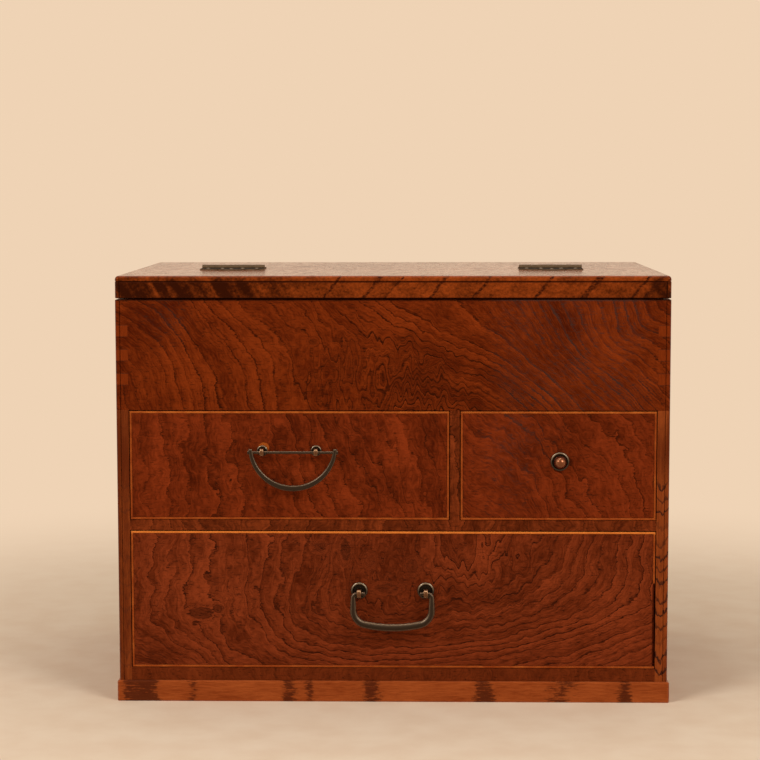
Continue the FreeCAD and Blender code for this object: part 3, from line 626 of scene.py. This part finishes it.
def levels(flows):
    """Ring number at each flow's centre, such that it carries on from its nearest earlier neighbour."""
    found = [0.0]
    for i, flow in enumerate(flows[1:], 1):
        near = min(range(i), key=lambda j: (flows[j].centre() - flow.centre()).length)
        middle = (flows[near].centre() + flow.centre()) / 2
        there = found[near] + flows[near].slope().dot(middle - flows[near].centre())
        found.append(there - flow.slope().dot(middle - flow.centre()))
    return found


def closeness(tree, flat, x, z, reach):
    """One at a place of the face, falling off smoothly around it."""
    offset = tree.vector("DIVIDE", tree.vector("SUBTRACT", flat, (x, 0.0, z)), (reach, 1.0, reach))
    return tree.math("POWER", 1 / math.e, tree.vector("DOT_PRODUCT", offset, offset, output="Value"))


def patchwork(tree, flat, patches):
    """What soft patches add up to."""
    total = 0.0
    for patch in patches:
        total = closeness(tree, flat, patch.x, patch.z, patch.radius) * patch.amount + total
    return total


def ring_count(tree, flat, flows):
    """Growth rings up to a point, from flows that blend into each other, and rings per millimetre there."""
    total, density, weights = 0.0, 0.0, 0.0
    for flow, level in zip(flows, levels(flows)):
        slope = flow.slope()
        count = tree.vector("DOT_PRODUCT", flat, slope, output="Value") + (level - slope.dot(flow.centre()))
        weight = closeness(tree, flat, flow.x, flow.z, flow.reach)
        total, density = weight * count + total, weight / flow.spacing + density
        weights = weight + weights
    return total / weights, density / weights


def ring_chance(tree, count, part, turn):
    """A number from 0 to 1 for each ring; another turn gives other numbers."""
    return tree.value(tree.node("TexWhiteNoise", {"W": count - part + turn}, noise_dimensions="1D"))


def ring_lines(tree, count, width):
    """Darkness of the ring lines: sharp on one side, fading on the other, some rings stronger."""
    part = tree.math("FRACT", count)
    edge = tree.rise(part, 0.0, 0.02)
    core = tree.rise(part / width, 0.6, 1.2, 1.0 - LINE_TAIL, 0.0)
    fading = tree.math("POWER", 1.0 - part, 4.0) * LINE_TAIL
    return edge * (core + fading) * tree.rise(ring_chance(tree, count, part, 0.0), 0.0, 1.0, 0.3, 1.0)


def ring_streaks(tree, count, flat, per_ring, length):
    """Noise in streaks that follow the rings, so many across each ring."""
    x, _, z = tree.apart(tree.vector("DIVIDE", flat, (length,) * 3))
    point = tree.value(tree.node("CombineXYZ", {"X": count * per_ring, "Y": x, "Z": z}))
    return tree.noise(point, (1.0, 1.0, 1.0))


def around_knots(tree, flat, count, knots):
    """Ring count led round the knots, and the darkness of their hearts."""
    hearts = 0.0
    for knot in knots:
        offset = tree.vector("SUBTRACT", flat, (knot.x, 0.0, knot.z))
        ragged = tree.noise(flat, KNOT_TEETH, 3.0) * 0.3
        far = tree.vector("DIVIDE", offset, (knot.half_width, 1.0, knot.half_height))
        away = tree.vector("LENGTH", far, output="Value") + ragged
        near = tree.rise(away, 0.6, 1.9, 1.0, 0.0)
        count = between(count, away * KNOT_RINGS, near)
        hearts = tree.rise(away, 0.85, 1.05, knot.heart, 0.0) + hearts
    return count, hearts


class Grain(NamedTuple):
    """Shade from -1 to 1, darkness of the lines, fine fibres, and how grey the lines are."""

    shade: Value
    dark: Value
    fibres: Value
    greying: Value


def grain(tree, flat, figure):
    """Grain at a point of a board's face, which flat gives in its X and Z."""
    count, density = ring_count(tree, flat, figure.flows)
    count = count + tree.noise(flat, GRAIN_SWAY) * figure.sway
    wild = tree.noise(flat, GRAIN_WILD, 1.4)
    swing = patchwork(tree, flat, figure.burls)
    count, hearts = around_knots(tree, flat, count + wild * swing, figure.knots)
    serration = tree.noise(flat, GRAIN_TEETH) * 0.1 + tree.noise(flat, GRAIN_FINE_TEETH) * 0.05
    jagged = count + serration
    part = tree.math("FRACT", jagged)
    dusty = tree.noise(flat, GRAIN_DUST) * 0.4 + patchwork(tree, flat, figure.greys)
    greying = tree.rise(dusty, 0.2, 0.9)
    width = (density + swing * 0.04) * (greying * 0.7 + LINE_WIDTH)
    pores = tree.noise(flat, GRAIN_PORES, 3.0, 0.7)
    dashes = tree.rise(pores, 0.05, 0.6) * tree.rise(part, 0.1, 0.8, 0.75, 0.45)
    broken = tree.rise(pores, -1.0, 0.3, 0.55, 1.0)
    bold = tree.rise(tree.noise(flat, GRAIN_BOLD) + swing * 0.3, -0.6, 0.5, 0.3, 1.1)
    fine = tree.rise(tree.noise(flat, GRAIN_FINE) + swing * 0.3, -0.3, 0.8, 0.0, 0.7)
    major = ring_lines(tree, jagged, width) * broken * bold
    minor = ring_lines(tree, jagged * MINOR_LINES + 0.4, width * MINOR_WIDTH) * broken * fine
    dark = tree.math("ADD", (major + minor) * figure.lines + dashes, hearts, clamp=True)
    ramp = part * tree.rise(ring_chance(tree, jagged, part, 0.5), 0.0, 1.0, 0.0, 0.5 * figure.lines) - 0.12
    bands = ring_streaks(tree, count, flat, *BANDS)
    fibres = ring_streaks(tree, count, flat, *FIBRES)
    glow = tree.noise(flat, GRAIN_GLOW, 3.0, 0.7)
    patches = patchwork(tree, flat, figure.patches) * SHADE_PATCHES
    streaks = bands * SHADE_BANDS + fibres * SHADE_FIBRES
    shade = glow * SHADE_GLOW + streaks + ramp + patches - SHADE_DROP
    return Grain(shade * figure.contrast, dark, fibres, greying)


def rubbed_edges(tree, radius):
    """One along sharp edges, where handling has rubbed the finish thin; on the stiles and the plinth it also
    makes a painted highlight.
    """
    soft = tree.value(tree.node("Bevel", {"Radius": radius}, samples=6))
    normal = tree.value(tree.node("NewGeometry"), "Normal")
    return tree.rise(tree.vector("DOT_PRODUCT", soft, normal, output="Value"), 0.8, 0.99, 1.0, 0.0)


def toned(tree, tones, shade):
    """Colour of wood from its low tone to its high one."""
    return tree.mix(tree.rise(shade, -1.0, 1.0), linear(tones.low), linear(tones.high))


def wood_surface(tree, base, lines, shade, dark, fibres, roughness=LACQUER_ROUGHNESS, finish=LACQUER):
    """Ends a wood: dark mixes the colour of the lines into the base, dulls them and sinks them a little."""
    rough = tree.rise(dark - shade * 0.5, -0.4, 1.0, 0.0, 0.16) + roughness
    colour = tree.mix(dark, base, lines)
    surface(tree, colour, rough, fibres * 0.4 - dark, WOOD_RELIEF, WOOD_EDGE, **finish)


def panel_wood(name, figure, tones, rubbed_disc=None):
    """Front board with its figure, and painted shade along the joint under the lid."""
    made, tree = material(name)
    place = tree.place()
    flat = tree.vector("MULTIPLY", place, (1.0, 0.0, 1.0))
    shade, dark, fibres, greying = grain(tree, flat, figure)
    base = toned(tree, tones, shade)
    if rubbed_disc:
        away = tree.vector("DISTANCE", flat, (rubbed_disc.x, 0.0, rubbed_disc.z), output="Value")
        radius = rubbed_disc.radius
        rubbed = tree.rise(away, radius - RUBBED_BLUR, radius, rubbed_disc.amount, 0.0)
        base = tree.mix(rubbed, base, linear(RUBBED))
        dark = dark * (1.0 - rubbed)
    y, z = tree.apart(place)[1:]
    on_face = tree.rise(y, *PANEL_FACE, 1.0, 0.0)
    # Painted shade along the joint under the lid
    seam_shade = tree.rise(z + fibres * 0.2, *PANEL_SEAM_SHADE, 0.0, 0.85) * on_face
    dark = tree.math("ADD", dark, seam_shade, clamp=True)
    lines = tree.mix(greying, linear(tones.dark), linear(PORE_GREY))
    wood_surface(tree, base, lines, shade, dark, fibres)
    return made


def board_wood(name, tones, along, finish=LACQUER, ring=7.0, roughness=BOARD_ROUGHNESS):
    """Plain board: rings seen as long soft lines along X or Y."""
    made, tree = material(name)
    place = tree.place()
    stretch = Vector([BOARD_STRETCH if axis == along else 1.0 for axis in "XYZ"])
    across = tree.noise(place, stretch * BOARD_WAVES)
    x, y, z = tree.apart(place)
    count = (y * 0.7 + z * 1.1 if along == "X" else x * 1.1 + z * 0.7) / ring + across
    dark = ring_lines(tree, count, SOFT_LINE) * BOARD_LINES
    fibres = tree.noise(place, stretch * BOARD_FIBRES, 3.0, 0.7)
    shade = across * 0.4 + fibres * 0.4
    base = toned(tree, tones, shade)
    wood_surface(tree, base, linear(tones.dark), shade, dark, fibres, roughness, finish)
    return made


def lid_wood():
    """Lid boards: figure on the top, and on the front edge slanting strokes, a bead line and shaded ends."""
    made, tree = material("lid_wood")
    place = tree.place()
    x, y, z = tree.apart(place)
    depth = LID_TOP - z
    wrapped = {"X": x + depth * LID_WRAP[0], "Z": y + depth * LID_WRAP[1]}
    top = grain(tree, tree.value(tree.node("CombineXYZ", wrapped)), LID_FIGURE)
    edge = tree.rise(y, *LID_EDGE, 1.0, 0.0)
    pores = tree.noise(place, LID_PORES, 3.0, 0.7)
    broken = tree.rise(pores, -0.5, 0.3, 0.3, 1.0)
    lean = x - (z - LID_MIDDLE) * STROKE_LEAN + tree.noise(place, LID_WAVER) * 1.4
    strokes = tree.rise(pores, 0.15, 0.8, 0.0, 0.6)
    for middle, half_width in LID_STROKES:
        off = tree.math("ABSOLUTE", lean - middle)
        strokes = tree.rise(off, half_width * 0.4, half_width * 1.5, 0.9, 0.0) * broken + strokes
    # Painted shade along the seam at the lid's lower edge
    seam_shade = tree.rise(z + pores * 0.2, *LID_SEAM_SHADE, 0.9, 0.0)
    from_end = LID_HALF_WIDTH - tree.math("ABSOLUTE", x)
    inside_bead = tree.math("MINIMUM", LID_BEAD - z, from_end - LID_BEAD_INSET)
    bead = tree.rise(tree.math("ABSOLUTE", inside_bead), *LID_BEAD_LINE, 0.85, 0.0)
    rounded_over = tree.rise(z, *LID_ROUNDED)
    shaded = tree.rise(x, *LID_SHADED, 1.0, 0.0) + tree.rise(x, *LID_SHADED_END, 0.0, 0.7)
    shaded = shaded * (1.0 - rounded_over * 0.5)
    back_lean = tree.value(tree.node("CombineXYZ", {"X": x + (z - LID_MIDDLE) * BAND_LEAN}))
    bands = tree.noise(back_lean, LID_BANDS, 2.0, 0.6)
    glow = tree.noise(place, LID_GLOW, 3.0, 0.65)
    speckle = tree.noise(place, LID_SPECKLE, 3.0, 0.7)
    # rounded_over adds a painted highlight on the rounded top of the front edge
    edge_shade = glow * 0.5 + speckle * 0.5 + rounded_over * 0.2
    edge_shade = edge_shade + shaded * (bands * 1.1 - 0.7)
    shade = between(top.shade, edge_shade, edge) + rubbed_edges(tree, LID_RUB) * (speckle * 0.3 + 0.3)
    dark = tree.math("MINIMUM", between(top.dark, strokes + bead + seam_shade, edge), 1.0)
    base = tree.mix(edge, toned(tree, LID_TONES, shade), toned(tree, LID_EDGE_TONES, shade))
    roughness = between(*LID_ROUGHNESS, rounded_over)
    wood_surface(tree, base, linear(LID_TONES.dark), shade, dark, top.fibres * 0.3, roughness, LID_LACQUER)
    return made


def side_wood(name, sign, marks, tone):
    """Side board: figure on its face, pointed marks and finger joints along its front edge."""
    made, tree = material(name)
    place = tree.place()
    x, y, z = tree.apart(place)
    face = grain(tree, tree.value(tree.node("CombineXYZ", {"X": y * sign, "Z": z})), SIDE_FIGURE)
    slant = tree.math("ABSOLUTE", x - sign * STILE_APEX)
    uneven = tree.noise(place, STILE_WAVER) * 0.3 + tree.noise(place, STILE_SPACING) * 0.5
    points = (z - slant * STILE_SLANT) / STILE_MARKS + uneven
    fading = tree.rise(z, *STILE_MARKS_END, marks, marks * 0.15)
    pointed = ring_lines(tree, points + tree.noise(place, STILE_TEETH) * 0.12, STILE_LINE) * fading
    glow = tree.noise(place, STILE_GLOW, 3.0, 0.6)
    streaks = tree.noise(place, STILE_STREAKS, 3.0, 0.7)
    dim = patchwork(tree, tree.vector("MULTIPLY", place, (0.0, 0.0, 1.0)), (STILE_DIM,))
    edge_shade = glow * 0.6 + streaks * 0.4 + dim * (streaks * 0.8 + 1.0) + tone
    front = tree.rise(y, *STILE_EDGE, 1.0, 0.0)
    fingers = front * tree.rise(z, *PANEL_JOINT)
    from_middle = tree.math("PINGPONG", z - (PANEL_UNDER + PANEL_TOP) / 2, FINGER_PITCH / 2)
    joints = tree.rise(tree.math("ABSOLUTE", from_middle - FINGER_HALF), *FINGER_LINE, 0.75, 0.0) * fingers
    # Rubbed edges made lighter: wear, and a painted highlight
    wear_and_highlight = rubbed_edges(tree, STILE_RUB) * (glow * 0.4 + 0.4)
    shade = between(face.shade, edge_shade, front) + wear_and_highlight
    dark = tree.math("ADD", between(face.dark, pointed * (1.0 - fingers), front), joints, clamp=True)
    base = tree.mix(fingers, toned(tree, SIDE_TONES, shade), toned(tree, UPPER_TONES, streaks * 0.4 + 0.3))
    wood_surface(tree, base, linear(SIDE_TONES.dark), shade, dark, streaks)
    return made


def plinth_wood():
    """Plinth rails: bright wood with ragged dark patches, and pale wear with a painted highlight along the
    edges.
    """
    made, tree = material("plinth_wood")
    place = tree.place()
    flat = tree.vector("MULTIPLY", place, (1.0, 0.0, 0.0))
    streaks = tree.noise(place, PLINTH_STREAKS, 3.0, 0.6)
    speckle = tree.noise(place, PLINTH_SPECKLE, 3.0, 0.65)
    waves = tree.noise(place, PLINTH_WAVES)
    clouds = tree.noise(place, PLINTH_CLOUDS, 1.0)
    patches = clouds * 0.35 + patchwork(tree, flat, PLINTH_PATCHES) - 0.3
    dark = tree.rise(patches + streaks * 0.5 + speckle * 0.35 + waves * 0.3, 0.25, 0.75) * 0.8
    fibres = tree.noise(place, PLINTH_FIBRES, 3.0, 0.7)
    # Pale along the edges: wear, and a painted highlight
    wear_and_highlight = rubbed_edges(tree, PLINTH_RUB) * tree.rise(streaks + waves * 0.5, -0.6, 0.8, 0.0, 0.8)
    shade = fibres * 0.6 + waves * 0.3 + 0.1
    base = tree.mix(wear_and_highlight, toned(tree, PLINTH_TONES, shade), linear(PALE_WEAR_HIGHLIGHT))
    wood_surface(tree, base, linear(PLINTH_TONES.dark), shade, dark * (1.0 - wear_and_highlight), fibres)
    return made


def edging_wood(drawer, top_shade):
    """Thin strips round a drawer front: the top one lighter as a painted highlight, the others darker as
    painted shade.
    """
    made, tree = material(f"{drawer}_edging_wood")
    place = tree.place()
    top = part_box(f"{drawer}_edging")[1][2] * TO_MM
    fibres = tree.noise(place, EDGING_FIBRES, 3.0, 0.6)
    below_top = tree.apart(place)[2] - top
    # Painted light: the top strip lighter, the side and bottom strips darker
    shade = tree.rise(below_top, *EDGING_TOP, EDGING_SHADE, top_shade) + fibres * 0.4
    dark = ring_lines(tree, tree.noise(place, EDGING_RINGS) * 1.5, SOFT_LINE) * 0.3
    base = toned(tree, EDGING_TONES, shade)
    wood_surface(tree, base, linear(EDGING_TONES.dark), shade, dark, fibres)
    return made


class Metal(NamedTuple):
    """Metal's patina, the colour of its bare metal and painted highlights, roughness from bare to dull, and
    how much wear bares it.
    """

    patina: str
    bare_and_highlight: str
    roughness: tuple
    wear: float
    edge_wear_and_highlight: float
    finish: dict


def metal(name, look, flat_axis, centres=(), radius=1.0):
    """Hand-worked metal: mottled patina, bare on edges that turn away from its flat and on round rims, with a
    painted highlight on those edges and on the rims' upper arcs.
    """
    made, tree = material(name)
    place = tree.place()
    mottle = tree.noise(place, METAL_MOTTLE, 4.0, 0.65)
    clouds = tree.noise(place, METAL_CLOUDS)
    normal = tree.apart(tree.value(tree.node("TexCoord"), "Normal"))["XYZ".index(flat_axis)]
    # Edges that turn away from the flat: bare metal, and a painted highlight
    turned = tree.rise(tree.math("ABSOLUTE", normal), 0.6, 0.97, look.edge_wear_and_highlight, 0.0)
    bare_and_highlight = tree.rise(clouds * 0.5 + mottle * 0.4, 0.9 - look.wear, 1.6 - look.wear)
    bare_and_highlight = bare_and_highlight + turned * (mottle * 0.25 + 0.75)
    flat = tree.vector("MULTIPLY", place, (1.0, 0.0, 1.0))
    for x, z in centres:
        away = tree.vector("DISTANCE", flat, (x, 0.0, z), output="Value") / radius
        rim = tree.rise(away, *RIM_INSIDE) * tree.rise(away, *RIM_OUTSIDE, 1.0, 0.0)
        raised = (tree.apart(place)[2] - z) / radius
        # Upper arc of each rim made lighter: a painted highlight
        bare_and_highlight = bare_and_highlight + rim * tree.rise(raised, *RIM_LIT, 0.1, 0.5)
    bare_and_highlight = tree.math("MINIMUM", bare_and_highlight, 1.0)
    colour = tree.mix(bare_and_highlight, linear(look.patina), linear(look.bare_and_highlight))
    rough = tree.rise(mottle * 0.5 - bare_and_highlight, -1.5, 0.5, *look.roughness)
    surface(tree, colour, rough, mottle, METAL_RELIEF, METAL_EDGE, **look.finish)
    return made


def dress(made, *names):
    """Gives nodes their one material."""
    for name in names:
        slots = nodes[name].data.materials
        slots.clear()
        slots.append(made)


# Woods, with the painted light on the top edging strip of each drawer
DRAWERS = {"small_left_drawer": -0.2, "small_right_drawer": -0.2, "large_drawer": 0.7}
SIDES = ("left", "right")
dress(panel_wood("upper_panel_wood", UPPER_FIGURE, UPPER_TONES), "upper_front")
dress(panel_wood("large_drawer_wood", LARGE_FIGURE, DRAWER_TONES), "large_drawer_front")
dress(panel_wood("left_drawer_wood", LEFT_FIGURE, SMALL_TONES, RUBBED_DISC), "small_left_drawer_front")
dress(panel_wood("right_drawer_wood", RIGHT_FIGURE, SMALL_TONES), "small_right_drawer_front")
dress(panel_wood("rail_wood", RAIL_FIGURE, RAIL_TONES), "shelf_rail", "divider_post")
dress(panel_wood("bottom_rail_wood", BOTTOM_RAIL_FIGURE, RAIL_TONES), "bottom_rail")
dress(side_wood("left_side_wood", sign=-1, marks=0.4, tone=-0.45), "left_side")
dress(side_wood("right_side_wood", sign=1, marks=1.3, tone=0.1), "right_side")
dress(lid_wood(), "lid_flap", "lid_rear_strip")
dress(plinth_wood(), *(f"plinth_{side}" for side in ("front", "left", "right", "back")))
dress(
    board_wood("inner_board_wood", INNER_TONES, "X", BARE_WOOD, roughness=INNER_ROUGHNESS),
    "back_panel", "bottom_board", "shelf_board", "compartment_floor",
)
dress(
    board_wood("divider_board_wood", INNER_TONES, "Y", BARE_WOOD, roughness=INNER_ROUGHNESS),
    "divider_panel",
)
for along, boards in (("Y", ("left_side", "right_side")), ("X", ("back", "bottom"))):
    box_wood = board_wood(f"drawer_box_wood_{along}", BOX_TONES, along, BARE_WOOD, roughness=BOX_ROUGHNESS)
    dress(box_wood, *(f"{drawer}_{board}" for drawer in DRAWERS for board in boards))
for drawer, top_shade in DRAWERS.items():
    dress(edging_wood(drawer, top_shade), f"{drawer}_edging")
pegs = [f"{drawer}_pegs" for drawer in DRAWERS] + ["carcass_pegs", "back_pegs", "lid_pegs"]
dress(board_wood("peg_end_wood", PEG_TONES, "Y", ring=2.0), *pegs)

# Metals, and the middles of the rosettes with the radius of their rims in millimetres
POLISHED = {"Metallic": 1.0}
OXIDE = {"Metallic": 0.0, "Specular_IOR_Level": 0.1}
BAIL_IRON = Metal("#382f27", "#a8947e", (0.22, 0.44), 0.35, 0.7, POLISHED)
ROSETTE_IRON = Metal("#241f1b", "#a89a86", (0.2, 0.4), 0.0, 0.15, POLISHED)
HINGE_IRON = Metal("#140d09", "#b4936e", (0.5, 0.75), 0.4, 0.45, OXIDE)
NAIL_IRON = Metal("#4a4038", "#b0a08c", (0.24, 0.46), 0.3, 0.8, POLISHED)
BRASS = Metal("#6a4a34", "#f0cca4", (0.1, 0.26), 0.5, 0.6, POLISHED)
COPPER = Metal("#7c4c34", "#e4ac86", (0.1, 0.24), 0.45, 0.3, POLISHED)
ROSETTES = {
    "rod_handle_rosettes": (((-85.7, 168.2), (-50.2, 168.2)), 3.4),
    "bent_handle_rosettes": (((-22.0, 75.0), (22.0, 75.0)), 5.3),
    "knob_rosette": (((110.0, 161.3),), 5.9),
}
dress(metal("bail_iron", BAIL_IRON, "Y"), "rod_handle_bail", "rod_handle_rod", "bent_handle_bail")
dress(
    metal("hinge_iron", HINGE_IRON, "Z"),
    *(f"{side}_hinge_{part}" for side in SIDES for part in ("front_leaf", "rear_leaf", "pin")),
)
dress(metal("nail_iron", NAIL_IRON, "Z"), "hinge_flap_nails", "hinge_strip_nails")
for name, (centres, radius) in ROSETTES.items():
    dress(metal(f"{name}_iron", ROSETTE_IRON, "Y", centres, radius), name)
dress(metal("post_brass", BRASS, "Y"), "rod_handle_posts", "bent_handle_posts")
dress(metal("knob_copper", COPPER, "Y"), "drawer_knob")


def camera():
    forward = Vector((
        math.sin(CAMERA_YAW) * math.cos(CAMERA_PITCH),
        math.cos(CAMERA_YAW) * math.cos(CAMERA_PITCH),
        -math.sin(CAMERA_PITCH),
    ))
    lens = bpy.data.cameras.new("camera")
    lens.lens, lens.sensor_width = LENS, SENSOR
    made = bpy.data.objects.new("camera", lens)
    turn = forward.to_track_quat("-Z", "Y").to_matrix() @ Matrix.Rotation(CAMERA_ROLL, 3, "Z")
    made.matrix_world = Matrix.Translation(CAMERA_PLACE) @ turn.to_4x4()
    bpy.context.scene.collection.objects.link(made)
    bpy.context.scene.camera = made


def soft_box(name, place, power):
    lamp = bpy.data.lights.new(name, "AREA")
    lamp.energy, lamp.size, lamp.color = power, SOFT_BOX_SIZE, SOFT_BOX_COLOUR
    made = bpy.data.objects.new(name, lamp)
    made.location = place
    made.rotation_euler = (LIT_POINT - Vector(place)).to_track_quat("-Z", "Y").to_euler()
    bpy.context.scene.collection.objects.link(made)


def seen_rays(tree):
    """One for rays that show the background: from the camera, or by reflection or through glass."""
    rays = tree.node("LightPath")
    seen = tree.value(rays, "Is Camera Ray") + tree.value(rays, "Is Glossy Ray")
    return tree.math("ADD", seen, tree.value(rays, "Is Transmission Ray"), clamp=True)


def surroundings():
    """Cream where it is seen or reflected, and a dimmer even light on the object."""
    world = bpy.data.worlds.new("surroundings")
    bpy.context.scene.world = world
    tree = Tree(world)
    strength = tree.rise(seen_rays(tree), 0.0, 1.0, AMBIENT, 1.0)
    shader = tree.node("Background", {"Color": linear(CREAM), "Strength": strength})
    tree.links.new(shader.outputs[0], tree.node("OutputWorld").inputs["Surface"])


def floor():
    """Pale paper that keeps the shadow near the object and turns into the surroundings further out."""
    bpy.ops.mesh.primitive_circle_add(vertices=FLOOR_SIDES, radius=FLOOR_RADIUS, fill_type="NGON")
    made = bpy.context.object
    made.name = "floor"
    paper, tree = material("pale_floor")
    point = tree.place()
    fibre = tree.noise(point, FLOOR_FIBRE, 4.0)
    tone = tree.mix(tree.rise(fibre, -1.0, 1.0), linear(FLOOR_LOW), linear(FLOOR_HIGH))
    near = tree.node("BsdfDiffuse", {"Color": tone})
    far = tree.node("Emission", {"Color": linear(CREAM)})
    away = tree.rise(tree.vector("LENGTH", point, output="Value"), *FLOOR_FADE) * seen_rays(tree)
    blend = tree.node("MixShader", {0: away, 1: tree.value(near), 2: tree.value(far)})
    tree.links.new(blend.outputs[0], tree.node("OutputMaterial").inputs["Surface"])
    made.data.materials.append(paper)


camera()
for name, (place, power) in SOFT_BOXES.items():
    soft_box(name, place, power)
surroundings()
floor()
bpy.context.scene.view_settings.view_transform = "Standard"
